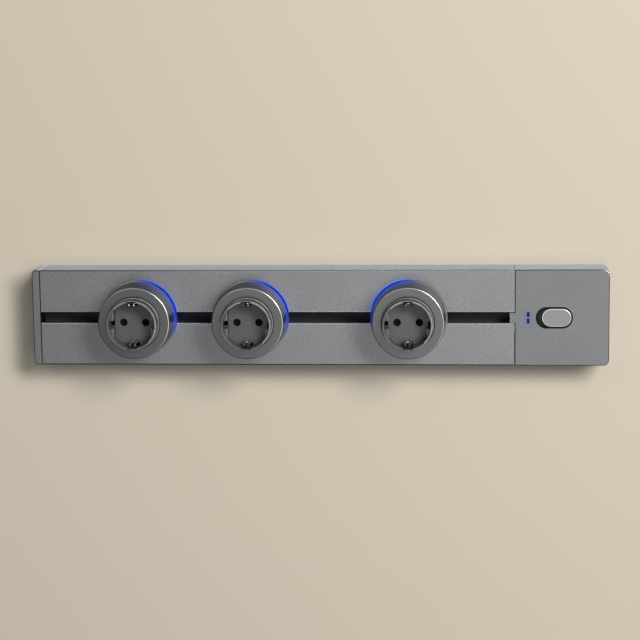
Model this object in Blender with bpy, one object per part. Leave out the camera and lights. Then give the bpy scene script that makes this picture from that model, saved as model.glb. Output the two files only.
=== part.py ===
"""Wall-mounted power track with three sliding two-pin socket modules and a slide main switch.

Frame: metres, +Z up, +X along the track to the right, +Y into the wall. The origin is the middle of
the wall face, so the front of the track faces -Y. A depth d is measured from the wall into the room,
which is y = -d. A height h is measured from the track's front face into the room.
"""

import math

import bmesh
import bpy

for old in list(bpy.data.objects):
    bpy.data.objects.remove(old, do_unlink=True)

# Track
TRACK_LENGTH = 0.5000
TRACK_HEIGHT = 0.0834
TRACK_DEPTH = 0.0335
SLOT_HEIGHT = 0.0094
SLOT_CHAMFER = 0.0006
FRONT_WALL = 0.0024
LIP_THICKNESS = 0.0036
SIDE_WALL = 0.0018
WEB_THICKNESS = 0.0018
EDGE_ROUND = 0.0010
HOOK_LEVEL = 0.0024
HOOK_THICKNESS = 0.0018
HOOK_REACH = 0.0034
PORT_RADIUS = 0.0034
PORT_BORE = 0.0015
PORT_SINK = 0.0024
GAP = 0.0003

# End cap
END_CAP_WIDTH = 0.0073
END_CAP_CORNER = 0.0035
CAP_TAB_LENGTH = 0.0080
CAP_TAB_THICKNESS = 0.0016
CAP_TAB_WIDTH = 0.0150
CAP_TAB_BARB = 0.0007
CASE_BEVEL = 0.0006

# Liners and conductors
LINER_WALL = 0.0015
LINER_LIP = 0.0020
BAY_WALL = 0.0016
BAR_THICKNESS = 0.0017
BAR_WIDTH = 0.0030
BAR_TAIL = 0.0120
LINER_RIB = 0.0005
LINER_RIB_SPACING = 0.0044

# Wall clips
CLIP_PLATE = 0.0014
CLIP_LENGTH = 0.0300
CLIP_ARM_RISE = 0.0018
CLIP_END_INSET = 0.0527
WALL_CLIP_CENTRE_X = 0.0
CLIP_HOLE_RADIUS = 0.0023
CLIP_HOLE_SPACING = 0.0180

# Switch unit
SWITCH_WIDTH = 0.0810
SWITCH_CORNER = 0.0047
CASE_WALL = 0.0020
CASE_FRONT = 0.0030
TONGUE_LENGTH = 0.0041
RECESS_CENTRE_INSET = 0.0470
RECESS_LENGTH = 0.0306
RECESS_HEIGHT = 0.0176
BEZEL_SINK = 0.0012
BEZEL_FLANGE = 0.0016
BEZEL_FLANGE_REACH = 0.0018
KNOB_LENGTH = 0.0252
KNOB_HEIGHT = 0.0156
KNOB_PROUD = 0.0008
KNOB_END_GAP = 0.0007
KNOB_BEVEL = 0.0006
KNOB_STEM_LENGTH = 0.0060
KNOB_STEM_HEIGHT = 0.0048
CARRIAGE_LENGTH = 0.0110
CARRIAGE_HEIGHT = 0.0104
CARRIAGE_DEPTH = 0.0093
STEM_ENGAGEMENT = 0.0055
SWITCH_BODY_WALL = 0.0024
INDICATOR_INSET = 0.0693
INDICATOR_WIDTH = 0.0015
INDICATOR_HEIGHT = 0.0035
INDICATOR_SPACING = 0.0057
GUIDE_BAR_WIDTH = 0.0050
GUIDE_BAR_DEPTH = 0.0016
BACK_PLATE = 0.0022
STANDOFF_HEIGHT = 0.0058
STANDOFF_RADIUS = 0.0030
BOARD_THICKNESS = 0.0016
BOARD_INSET = 0.0012
BOARD_LOW = 0.0190
BOARD_HIGH = 0.0370
BLOCK_INSET = 0.0010
BLOCK_LENGTH = 0.0130
BLOCK_WALL = 0.0037
CABLE_HOLE_RADIUS = 0.0085
CABLE_HOLE_INSET = 0.0420
CABLE_HOLE_DROP = 0.0295
PLATE_SLOT_LENGTH = 0.0090
PLATE_SLOT_HEIGHT = 0.0046
PLATE_SLOT_INSET = 0.0130

# Socket modules
MODULE_ONE_X = -0.1560
MODULE_TWO_X = -0.0584
MODULE_THREE_X = 0.0784
SHELL_RADIUS = 0.0307
SHELL_HEIGHT = 0.0320
SHELL_WALL = 0.0018
SHELL_FACE = 0.0018
SHELL_FILLET = 0.0008
SHELL_FLARE = 0.0012
RING_HEIGHT = 0.0027
RING_WIDTH = 0.0045
RING_EDGE = 0.0004
RING_LEDGE = 0.0013
GLIDE_KEY_LENGTH = 0.0180
GLIDE_BORE_PLAY = 0.0003
STEM_RADIUS = 0.0036
BASE_THICKNESS = 0.0025
WELL_RADIUS = 0.0196
WELL_DEPTH = 0.0175
COLLAR_WALL = 0.0017
COLLAR_RISE = 0.0120
COLLAR_EDGE = 0.0005
COLLAR_PLAY = 0.0003
FLOOR_THICKNESS = 0.0020
FLANGE_THICKNESS = 0.0020
FLANGE_PLAY = 0.0014
PIN_SPACING = 0.0190
PIN_HOLE_RADIUS = 0.00315
PIN_COUNTERSINK = 0.0003
LUG_CHORD = 0.0163
LUG_NOTCH = 0.0065
LUG_DROP = 0.0045
POST_SHARE = 0.85
EARTH_STRIP = 0.0007
EARTH_WIDTH = 0.0070
EARTH_SPLIT = 0.0012
EARTH_SPLIT_RISE = 0.0030
EARTH_FACE = 0.0162
EARTH_BULGE = 0.0015
EARTH_FLARE = 0.0010
EARTH_DROP = 0.0022
EARTH_POCKET = 0.0006
EARTH_POCKET_DEPTH = 0.0037
SHUTTER_THICKNESS = 0.0022
SHUTTER_LOBE_DEGREES = 21.0
SHUTTER_BOSS_RADIUS = 0.0015
SHUTTER_HUB_RADIUS = 0.0040
CONTACT_SHEET = 0.0006
CONTACT_WIDTH = 0.0050
CONTACT_THROAT = 0.0021
CONTACT_MOUTH = 0.0029
CONTACT_ROOT = 0.0023
CONTACT_CLEAR = 0.0015
CONTACT_FREE = 0.0055
TOWER_WALL = 0.0010
CENTRE_TOWER_WIDTH = 0.0060
CENTRE_TOWER_HEIGHT = 0.0100

# Track foot and blades
FOOT_REACH = 0.0116
FOOT_DEPTH = 0.0110
FOOT_PLAY = 0.0005
BLADE_SHEET = 0.0007
BLADE_WIDTH = 0.0044
BLADE_LEG = 0.0055
SWEEP_CLEARANCE = 0.0003
SCREW_RADIUS = 0.0015
SCREW_HEAD_RADIUS = 0.0026
SCREW_HEAD_HEIGHT = 0.0016
SCREW_HEAD_SINK = 0.0005
SCREW_PLAY = 0.0003

ROUND_STEPS = 40
SMALL_STEPS = 20

# What follows from the sizes above
HALF_HEIGHT = TRACK_HEIGHT / 2
SLOT_HALF = SLOT_HEIGHT / 2
BLADE_TIP = FOOT_REACH + GAP + BLADE_SHEET
SWEEP_RADIUS = math.hypot(BLADE_TIP, BLADE_WIDTH / 2)
LINER_FACE = SWEEP_RADIUS + SWEEP_CLEARANCE
BAY_ROOT = LINER_FACE + BAR_THICKNESS + GAP
LINER_OUTSIDE = BAY_ROOT + LINER_WALL
CHAMBER_HALF = LINER_OUTSIDE + GAP
WEB_OUTSIDE = CHAMBER_HALF + WEB_THICKNESS
SIDE_INSIDE = HALF_HEIGHT - SIDE_WALL
LIP_BACK = TRACK_DEPTH - LIP_THICKNESS
LINER_FRONT = LIP_BACK - GAP
FRONT_BAY_HIGH = LINER_FRONT - LINER_LIP
FRONT_BAY_LOW = FRONT_BAY_HIGH - BAR_WIDTH - 2 * GAP
BACK_BAY_HIGH = FRONT_BAY_LOW - BAY_WALL
BACK_BAY_LOW = BACK_BAY_HIGH - BAR_WIDTH - 2 * GAP
LINER_FLOOR = BACK_BAY_LOW - LINER_LIP
LINER_BACK = LINER_FLOOR - LINER_WALL
CHAMBER_BACK = LINER_BACK - GAP
FRONT_INSIDE = TRACK_DEPTH - FRONT_WALL
RAIL_LEFT = -TRACK_LENGTH / 2 + END_CAP_WIDTH
RAIL_RIGHT = TRACK_LENGTH / 2 - SWITCH_WIDTH
WALL_CLIP_LEFT_X = RAIL_LEFT + CLIP_END_INSET
CASE_LEFT = RAIL_RIGHT + GAP
CASE_RIGHT = TRACK_LENGTH / 2
RECESS_X = CASE_RIGHT - RECESS_CENTRE_INSET
KNOB_TRAVEL = RECESS_LENGTH - KNOB_LENGTH - 2 * KNOB_END_GAP
KNOB_X = RECESS_X + KNOB_TRAVEL / 2
INDICATOR_X = CASE_RIGHT - INDICATOR_INSET
CASE_INSIDE_FRONT = TRACK_DEPTH - CASE_FRONT
BEZEL_FACE = TRACK_DEPTH - BEZEL_SINK
BEZEL_BACK = CASE_INSIDE_FRONT - GAP - BEZEL_FLANGE
BOARD_BACK = BACK_PLATE + STANDOFF_HEIGHT + GAP
BOARD_FRONT = BOARD_BACK + BOARD_THICKNESS

RING_BOTTOM = GAP
RING_TOP = RING_BOTTOM + RING_HEIGHT
SHELL_BOTTOM = RING_TOP + GAP
BASE_TOP = SHELL_BOTTOM + BASE_THICKNESS
LIP_LEVEL = SHELL_HEIGHT + COLLAR_RISE
WELL_FLOOR = LIP_LEVEL - WELL_DEPTH
FLOOR_BACK = WELL_FLOOR - FLOOR_THICKNESS
FLANGE_TOP = SHELL_HEIGHT - SHELL_FACE - GAP
FLANGE_BOTTOM = FLANGE_TOP - FLANGE_THICKNESS
COLLAR_RADIUS = WELL_RADIUS + COLLAR_WALL
SHELL_INSIDE = SHELL_RADIUS - SHELL_WALL
FLANGE_RADIUS = SHELL_INSIDE - FLANGE_PLAY
POST_CIRCLE = (COLLAR_RADIUS + FLANGE_RADIUS) / 2
POST_RADIUS = POST_SHARE * (FLANGE_RADIUS - COLLAR_RADIUS) / 2
SHUTTER_TOP = FLOOR_BACK - GAP
SHUTTER_BOTTOM = SHUTTER_TOP - SHUTTER_THICKNESS
STRAP_TOP = SHUTTER_BOTTOM - GAP
STRAP_BOTTOM = STRAP_TOP - EARTH_STRIP
CONTACT_TOP = SHUTTER_BOTTOM - CONTACT_CLEAR
TOWER_TOP = CONTACT_TOP - CONTACT_FREE
POCKET_FLOOR = BASE_TOP + GAP
CONTACT_BOTTOM = POCKET_FLOOR + GAP
FOOT_TOP = -LIP_THICKNESS - GAP
FOOT_BOTTOM = FOOT_TOP - FOOT_DEPTH
FOOT_HALF_WIDTH = SLOT_HALF - FOOT_PLAY
STEM_END = FOOT_TOP + GAP
FRONT_BLADE = (FRONT_BAY_LOW + FRONT_BAY_HIGH) / 2 - TRACK_DEPTH
BACK_BLADE = (BACK_BAY_LOW + BACK_BAY_HIGH) / 2 - TRACK_DEPTH
SCREW_TOP = SHELL_BOTTOM - GAP
HEAD_SEAT = FOOT_BOTTOM + SCREW_HEAD_SINK + SCREW_HEAD_HEIGHT + GAP

# Materials


def material(name, colour, metallic, roughness, emission=None):
    made = bpy.data.materials.new(name)
    made.use_nodes = True
    shader = made.node_tree.nodes["Principled BSDF"]
    shader.inputs["Base Color"].default_value = (*colour, 1.0)
    shader.inputs["Metallic"].default_value = metallic
    shader.inputs["Roughness"].default_value = roughness
    if emission:
        shader.inputs["Emission Color"].default_value = (*emission, 1.0)
        shader.inputs["Emission Strength"].default_value = 2.0
    made.diffuse_color = (*colour, 1.0)
    return made


ANODISED = ((0.20, 0.20, 0.20), 0.85, 0.45)
CASE_GREY = ((0.17, 0.17, 0.17), 0.85, 0.50)
SATIN_GREY = ((0.42, 0.42, 0.43), 0.60, 0.35)
SOCKET_GREY = ((0.10, 0.10, 0.10), 0.0, 0.50)
BLACK_PLASTIC = ((0.015, 0.015, 0.016), 0.0, 0.55)
GUIDE_PLASTIC = ((0.05, 0.05, 0.055), 0.0, 0.50)
COPPER = ((0.72, 0.38, 0.22), 1.0, 0.30)
SPRING_BRONZE = ((0.62, 0.47, 0.30), 1.0, 0.28)
ZINC = ((0.55, 0.55, 0.56), 1.0, 0.38)
BOARD_GREEN = ((0.02, 0.10, 0.05), 0.0, 0.45)
BLUE_LIGHT = ((0.10, 0.25, 0.80), 0.0, 0.30, (0.05, 0.20, 0.95))

# Modelling helpers


def grow_prism(bm, outline, axis, low, high):
    """Adds a prism: the outline's two numbers fill the other two axes in X, Y, Z order."""
    rows = []
    for level in (low, high):
        row = []
        for u, v in outline:
            place = {"X": (level, u, v), "Y": (u, level, v), "Z": (u, v, level)}[axis]
            row.append(bm.verts.new(place))
        rows.append(row)
    faces = [bm.faces.new(rows[0]), bm.faces.new(reversed(rows[1]))]
    count = len(outline)
    for i in range(count):
        j = (i + 1) % count
        faces.append(bm.faces.new((rows[0][i], rows[1][i], rows[1][j], rows[0][j])))
    bmesh.ops.recalc_face_normals(bm, faces=faces)
    return faces


def grow_box(bm, x, y, z):
    """Adds a box from three pairs of limits."""
    outline = [(x[0], z[0]), (x[1], z[0]), (x[1], z[1]), (x[0], z[1])]
    return grow_prism(bm, outline, "Y", y[0], y[1])


def grow_lathe(bm, profile, steps, centre=(0.0, 0.0)):
    """Turns a closed profile of (radius, height) about the line along Y through centre (x, z)."""
    rings = []
    for radius, height in profile:
        if radius < 1e-7:
            rings.append([bm.verts.new((centre[0], -height, centre[1]))])
            continue
        ring = []
        for i in range(steps):
            turn = 2 * math.pi * i / steps
            x = centre[0] + radius * math.cos(turn)
            z = centre[1] + radius * math.sin(turn)
            ring.append(bm.verts.new((x, -height, z)))
        rings.append(ring)
    faces = []
    for k in range(len(profile)):
        a = rings[k]
        b = rings[(k + 1) % len(profile)]
        if len(a) == 1 and len(b) == 1:
            continue
        for i in range(steps):
            j = (i + 1) % steps
            if len(a) == 1:
                faces.append(bm.faces.new((a[0], b[i], b[j])))
            elif len(b) == 1:
                faces.append(bm.faces.new((a[i], b[0], a[j])))
            else:
                faces.append(bm.faces.new((a[i], b[i], b[j], a[j])))
    bmesh.ops.recalc_face_normals(bm, faces=faces)
    return faces


def arc(cx, cy, radius, start, end, steps):
    """Points on an arc, angles in degrees, both ends included."""
    points = []
    for i in range(steps + 1):
        turn = math.radians(start + (end - start) * i / steps)
        points.append((cx + radius * math.cos(turn), cy + radius * math.sin(turn)))
    return points


def capsule(cx, cz, length, height, steps=12):
    """The outline of a bar with round ends, long along the first axis."""
    radius = height / 2
    reach = length / 2 - radius
    return arc(cx + reach, cz, radius, -90, 90, steps) + arc(cx - reach, cz, radius, 90, 270, steps)


def strip(path, thickness):
    """The outline of a bent sheet whose middle line is the path."""
    left = []
    right = []
    for i, (u, v) in enumerate(path):
        before = path[max(i - 1, 0)]
        after = path[min(i + 1, len(path) - 1)]
        first = (u - before[0], v - before[1]) if i > 0 else (after[0] - u, after[1] - v)
        second = (after[0] - u, after[1] - v) if i < len(path) - 1 else first
        n1 = (-first[1] / math.hypot(*first), first[0] / math.hypot(*first))
        n2 = (-second[1] / math.hypot(*second), second[0] / math.hypot(*second))
        mid = (n1[0] + n2[0], n1[1] + n2[1])
        scale = thickness / (mid[0] ** 2 + mid[1] ** 2)
        left.append((u + mid[0] * scale, v + mid[1] * scale))
        right.append((u - mid[0] * scale, v - mid[1] * scale))
    return left + right[::-1]


def place(name, bm, parent=None):
    mesh = bpy.data.meshes.new(name)
    bm.to_mesh(mesh)
    bm.free()
    obj = bpy.data.objects.new(name, mesh)
    bpy.context.scene.collection.objects.link(obj)
    obj.parent = parent
    return obj


def piece(name, bm, look, parent=None, round_shape=False):
    obj = place(name, bm, parent)
    obj.data.materials.append(material(name, *look))
    if round_shape:
        obj.data.shade_smooth()
        obj.data.set_sharp_from_angle(angle=math.radians(35))
    return obj


def tool(name, bm, parent=None):
    obj = place(name, bm, parent)
    obj.hide_render = True
    obj.display_type = "WIRE"
    return obj


def boolean(obj, other, operation):
    step = obj.modifiers.new(operation.lower(), "BOOLEAN")
    step.object = other
    step.operation = operation
    step.solver = "EXACT"


def bevel(obj, width, segments=1, degrees=50):
    step = obj.modifiers.new("bevel", "BEVEL")
    step.width = width
    step.segments = segments
    step.limit_method = "ANGLE"
    step.angle_limit = math.radians(degrees)


def empty(name, location, parent=None):
    obj = bpy.data.objects.new(name, None)
    bpy.context.scene.collection.objects.link(obj)
    obj.location = location
    obj.parent = parent
    return obj


# Rail extrusion: one outline, drawn for the upper half and mirrored, pushed along X


def screw_port(zc, dc):
    """A C-shaped screw port under the front wall, open towards the wall side."""
    rise = math.sqrt(PORT_RADIUS**2 - PORT_SINK**2)
    edge = 180 - math.degrees(math.atan2(rise, PORT_SINK))
    points = []
    for i in range(6):
        turn = math.radians(edge + (16 - edge) * i / 5)
        points.append((zc - PORT_RADIUS * math.sin(turn), dc - PORT_RADIUS * math.cos(turn)))
    for i in range(11):
        turn = math.radians(38 + (322 - 38) * i / 10)
        points.append((zc - PORT_BORE * math.sin(turn), dc - PORT_BORE * math.cos(turn)))
    for i in range(6):
        turn = math.radians(16 + (edge - 16) * i / 5)
        points.append((zc + PORT_RADIUS * math.sin(turn), dc - PORT_RADIUS * math.cos(turn)))
    return points


port_z = (WEB_OUTSIDE + SIDE_INSIDE) / 2
port_d = FRONT_INSIDE - PORT_SINK
upper = [(WEB_OUTSIDE, CHAMBER_BACK - WEB_THICKNESS), (WEB_OUTSIDE, FRONT_INSIDE)]
upper += screw_port(port_z, port_d)
upper += [
    (SIDE_INSIDE, FRONT_INSIDE),
    (SIDE_INSIDE, HOOK_LEVEL + HOOK_THICKNESS),
    (SIDE_INSIDE - HOOK_REACH, HOOK_LEVEL + HOOK_THICKNESS),
    (SIDE_INSIDE - HOOK_REACH, HOOK_LEVEL),
    (SIDE_INSIDE, HOOK_LEVEL),
    (SIDE_INSIDE, 0.0),
    (HALF_HEIGHT, 0.0),
]
upper += arc(HALF_HEIGHT - EDGE_ROUND, TRACK_DEPTH - EDGE_ROUND, EDGE_ROUND, 0, 90, 3)
upper += [
    (SLOT_HALF + SLOT_CHAMFER, TRACK_DEPTH),
    (SLOT_HALF, TRACK_DEPTH - SLOT_CHAMFER),
    (SLOT_HALF, LIP_BACK),
    (CHAMBER_HALF, LIP_BACK),
    (CHAMBER_HALF, CHAMBER_BACK),
]
lower = [(-z, d) for z, d in reversed(upper)]
bm = bmesh.new()
grow_prism(bm, [(-d, z) for z, d in upper + lower], "X", RAIL_LEFT, RAIL_RIGHT)
piece("rail_extrusion", bm, ANODISED)

# Chamber liner with four bays, and the three conductors that lie in them

ribs = []
for middle in (-LINER_RIB_SPACING / 2, LINER_RIB_SPACING / 2):
    ribs += [
        (middle - LINER_RIB, LINER_FLOOR),
        (middle - LINER_RIB, LINER_FLOOR + LINER_RIB),
        (middle + LINER_RIB, LINER_FLOOR + LINER_RIB),
        (middle + LINER_RIB, LINER_FLOOR),
    ]
half_liner = [
    (LINER_FACE, LINER_FLOOR),
    (LINER_FACE, BACK_BAY_LOW),
    (BAY_ROOT, BACK_BAY_LOW),
    (BAY_ROOT, BACK_BAY_HIGH),
    (LINER_FACE, BACK_BAY_HIGH),
    (LINER_FACE, FRONT_BAY_LOW),
    (BAY_ROOT, FRONT_BAY_LOW),
    (BAY_ROOT, FRONT_BAY_HIGH),
    (LINER_FACE, FRONT_BAY_HIGH),
    (LINER_FACE, LINER_FRONT),
    (LINER_OUTSIDE, LINER_FRONT),
    (LINER_OUTSIDE, LINER_BACK),
]
liner_outline = ribs + half_liner + [(-z, d) for z, d in reversed(half_liner)]
bm = bmesh.new()
grow_prism(bm, [(-d, z) for z, d in liner_outline], "X", RAIL_LEFT + GAP, RAIL_RIGHT)
piece("chamber_liner", bm, BLACK_PLASTIC)

bar_end = CASE_LEFT + BAR_TAIL
bars = (
    ("conductor_live", 1, BACK_BAY_LOW + GAP),
    ("conductor_neutral", -1, BACK_BAY_LOW + GAP),
    ("conductor_earth", 1, FRONT_BAY_LOW + GAP),
)


def bar_limits(side, low, play):
    """A conductor's limits across the track, grown by play on every side."""
    z = sorted((side * (LINER_FACE - play), side * (LINER_FACE + BAR_THICKNESS + play)))
    return (-(low + BAR_WIDTH + play), -(low - play)), z


for bar_name, side, low in bars:
    bar_y, bar_z = bar_limits(side, low, 0.0)
    bm = bmesh.new()
    grow_box(bm, (RAIL_LEFT + GAP, bar_end), bar_y, bar_z)
    piece(bar_name, bm, COPPER)

# End cap with two clip tabs inside the side cells of the rail

cap_outline = [(RAIL_LEFT - GAP, -HALF_HEIGHT), (RAIL_LEFT - GAP, HALF_HEIGHT)]
cap_outline += arc(
    -TRACK_LENGTH / 2 + END_CAP_CORNER, HALF_HEIGHT - END_CAP_CORNER, END_CAP_CORNER, 90, 180, 6
)
cap_outline += arc(
    -TRACK_LENGTH / 2 + END_CAP_CORNER, -HALF_HEIGHT + END_CAP_CORNER, END_CAP_CORNER, 180, 270, 6
)
bm = bmesh.new()
grow_prism(bm, cap_outline, "Y", -TRACK_DEPTH, 0.0)
end_cap = piece("end_cap", bm, CASE_GREY)
bevel(end_cap, CASE_BEVEL)
bm = bmesh.new()
tab_start = RAIL_LEFT - GAP - END_CAP_WIDTH / 3
tab_end = RAIL_LEFT + CAP_TAB_LENGTH
tab_middle = (HOOK_LEVEL + HOOK_THICKNESS + FRONT_INSIDE) / 2
for side in (1, -1):
    tab_face = SIDE_INSIDE - GAP
    tab = [
        (tab_start, tab_face - CAP_TAB_THICKNESS),
        (tab_end, tab_face - CAP_TAB_THICKNESS),
        (tab_end, tab_face - CAP_TAB_BARB),
        (tab_end - CAP_TAB_LENGTH / 3, tab_face),
        (tab_start, tab_face),
    ]
    grow_prism(
        bm,
        [(x, side * z) for x, z in tab],
        "Y",
        -(tab_middle + CAP_TAB_WIDTH / 2),
        -(tab_middle - CAP_TAB_WIDTH / 2),
    )
boolean(end_cap, tool("end_cap_tabs", bm), "UNION")

# Wall clips: a spring plate whose arms hook over the rail's clip grooves

arm_outside = SIDE_INSIDE - HOOK_REACH - GAP
arm_top = HOOK_LEVEL + HOOK_THICKNESS + GAP
half_clip = [
    (arm_outside - CLIP_PLATE, CLIP_PLATE),
    (arm_outside - CLIP_PLATE, arm_top + CLIP_ARM_RISE),
    (arm_outside + HOOK_REACH * 0.6, arm_top + CLIP_PLATE),
    (arm_outside + HOOK_REACH * 0.6, arm_top),
    (arm_outside, arm_top),
    (arm_outside, 0.0),
]
clip_outline = half_clip + [(-z, d) for z, d in reversed(half_clip)]
for clip_name, clip_x in (("wall_clip_left", WALL_CLIP_LEFT_X), ("wall_clip_centre", WALL_CLIP_CENTRE_X)):
    bm = bmesh.new()
    grow_prism(bm, [(-d, z) for z, d in clip_outline], "X", clip_x - CLIP_LENGTH / 2, clip_x + CLIP_LENGTH / 2)
    wall_clip = piece(clip_name, bm, ZINC)
    bm = bmesh.new()
    for side in (1, -1):
        hole = [(0.0, -GAP), (CLIP_HOLE_RADIUS, -GAP), (CLIP_HOLE_RADIUS, CLIP_PLATE + GAP), (0.0, CLIP_PLATE + GAP)]
        grow_lathe(bm, hole, SMALL_STEPS, (clip_x + side * CLIP_HOLE_SPACING / 2, 0.0))
    boolean(wall_clip, tool(clip_name + "_holes", bm), "DIFFERENCE")

# Switch unit case: an open-backed box with a tongue that closes the end of the slot

case_outline = [(CASE_LEFT, HALF_HEIGHT), (CASE_LEFT, -HALF_HEIGHT)]
case_outline += arc(
    CASE_RIGHT - SWITCH_CORNER, -HALF_HEIGHT + SWITCH_CORNER, SWITCH_CORNER, -90, 0, 6
)
case_outline += arc(CASE_RIGHT - SWITCH_CORNER, HALF_HEIGHT - SWITCH_CORNER, SWITCH_CORNER, 0, 90, 6)
bm = bmesh.new()
grow_prism(bm, case_outline, "Y", -TRACK_DEPTH, 0.0)
case = piece("switch_housing", bm, CASE_GREY)
bevel(case, CASE_BEVEL)

inside_left = CASE_LEFT + CASE_WALL
inside_right = CASE_RIGHT - CASE_WALL
inside_half = HALF_HEIGHT - CASE_WALL
inside_corner = max(SWITCH_CORNER - CASE_WALL, GAP)


def inside_outline(inset):
    """The inner wall's outline, drawn in by inset."""
    r = max(inside_corner - inset, GAP / 2)
    left, right, half = inside_left + inset, inside_right - inset, inside_half - inset
    points = [(left, half), (left, -half)]
    points += arc(right - r, -half + r, r, -90, 0, 4)
    points += arc(right - r, half - r, r, 0, 90, 4)
    return points


bm = bmesh.new()
grow_prism(bm, inside_outline(0.0), "Y", -CASE_INSIDE_FRONT, GAP)
boolean(case, tool("switch_cavity", bm), "DIFFERENCE")
bm = bmesh.new()
tongue_half = SLOT_HALF - GAP
grow_box(
    bm,
    (RAIL_RIGHT - TONGUE_LENGTH, CASE_LEFT + CASE_WALL / 2),
    (-TRACK_DEPTH, -(LIP_BACK + GAP)),
    (-tongue_half, tongue_half),
)
boolean(case, tool("switch_tongue", bm), "UNION")
bm = bmesh.new()
grow_prism(
    bm,
    capsule(RECESS_X, 0.0, RECESS_LENGTH, RECESS_HEIGHT),
    "Y",
    -(TRACK_DEPTH + GAP),
    -(CASE_INSIDE_FRONT - GAP),
)
for side in (1, -1):
    window_z = side * INDICATOR_SPACING / 2
    grow_box(
        bm,
        (INDICATOR_X - INDICATOR_WIDTH / 2 - GAP, INDICATOR_X + INDICATOR_WIDTH / 2 + GAP),
        (-(TRACK_DEPTH + GAP), -(CASE_INSIDE_FRONT - GAP)),
        (window_z - INDICATOR_HEIGHT / 2 - GAP, window_z + INDICATOR_HEIGHT / 2 + GAP),
    )
feed_half = LINER_FACE + BAR_THICKNESS + GAP
grow_box(
    bm,
    (CASE_LEFT - GAP, inside_left + GAP),
    (-(LIP_BACK - 2 * GAP), -(CHAMBER_BACK + GAP)),
    (-feed_half, feed_half),
)
boolean(case, tool("switch_windows", bm), "DIFFERENCE")

# Back plate with the cable entry, two slots for wall screws and four standoffs

bm = bmesh.new()
grow_prism(bm, inside_outline(GAP), "Y", -BACK_PLATE, 0.0)
plate = piece("switch_back_plate", bm, BLACK_PLASTIC)
board_x = (inside_left + BOARD_INSET, inside_right - BOARD_INSET)
board_z = (-BOARD_LOW, BOARD_HIGH)
bm = bmesh.new()
for x in (board_x[0] + STANDOFF_RADIUS, board_x[1] - STANDOFF_RADIUS):
    for z in (board_z[0] + STANDOFF_RADIUS, board_z[1] - STANDOFF_RADIUS):
        standoff = [
            (0.0, BACK_PLATE / 2),
            (STANDOFF_RADIUS, BACK_PLATE / 2),
            (STANDOFF_RADIUS, BACK_PLATE + STANDOFF_HEIGHT),
            (0.0, BACK_PLATE + STANDOFF_HEIGHT),
        ]
        grow_lathe(bm, standoff, 12, (x, z))
boolean(plate, tool("standoffs", bm), "UNION")
bm = bmesh.new()
cable_x = CASE_RIGHT - CABLE_HOLE_INSET
hole = [(0.0, -GAP), (CABLE_HOLE_RADIUS, -GAP), (CABLE_HOLE_RADIUS, BACK_PLATE + GAP), (0.0, BACK_PLATE + GAP)]
grow_lathe(bm, hole, ROUND_STEPS // 2, (cable_x, -CABLE_HOLE_DROP))
for x in (inside_left + PLATE_SLOT_INSET, inside_right - PLATE_SLOT_INSET):
    slot = capsule(x, -CABLE_HOLE_DROP, PLATE_SLOT_LENGTH, PLATE_SLOT_HEIGHT, 8)
    grow_prism(bm, slot, "Y", -(BACK_PLATE + GAP), GAP)
boolean(plate, tool("back_plate_holes", bm), "DIFFERENCE")

bm = bmesh.new()
grow_box(bm, board_x, (-BOARD_FRONT, -BOARD_BACK), board_z)
piece("control_board", bm, BOARD_GREEN)

# Terminal block that takes the three conductor tails

block_x = (inside_left + BLOCK_INSET, inside_left + BLOCK_INSET + BLOCK_LENGTH)
block_half = LINER_FACE + BAR_THICKNESS + BLOCK_WALL
guide_back = CASE_INSIDE_FRONT - GAP - GUIDE_BAR_DEPTH
bm = bmesh.new()
grow_box(bm, block_x, (-(guide_back - GAP), -(BOARD_FRONT + GAP)), (-block_half, block_half))
block = piece("terminal_block", bm, GUIDE_PLASTIC)
bm = bmesh.new()
tail_x = (block_x[0] - GAP, bar_end + GAP)
for bar_name, side, low in bars:
    bar_y, bar_z = bar_limits(side, low, GAP)
    grow_box(bm, tail_x, bar_y, bar_z)
boolean(block, tool("tail_slots", bm), "DIFFERENCE")

# Light guide: two windows on one bar behind the case front

bm = bmesh.new()
guide_half = INDICATOR_SPACING / 2 + INDICATOR_HEIGHT / 2 + GUIDE_BAR_DEPTH
grow_box(
    bm,
    (INDICATOR_X - GUIDE_BAR_WIDTH / 2, INDICATOR_X + GUIDE_BAR_WIDTH / 2),
    (-(CASE_INSIDE_FRONT - GAP), -guide_back),
    (-guide_half, guide_half),
)
guide = piece("indicator_guide", bm, BLUE_LIGHT)
bm = bmesh.new()
for side in (1, -1):
    window_z = side * INDICATOR_SPACING / 2
    grow_box(
        bm,
        (INDICATOR_X - INDICATOR_WIDTH / 2, INDICATOR_X + INDICATOR_WIDTH / 2),
        (-(TRACK_DEPTH - GAP), -(guide_back + GUIDE_BAR_DEPTH / 2)),
        (window_z - INDICATOR_HEIGHT / 2, window_z + INDICATOR_HEIGHT / 2),
    )
boolean(guide, tool("indicator_posts", bm), "UNION")

# Knob tray, held behind the case front by its flange

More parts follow.
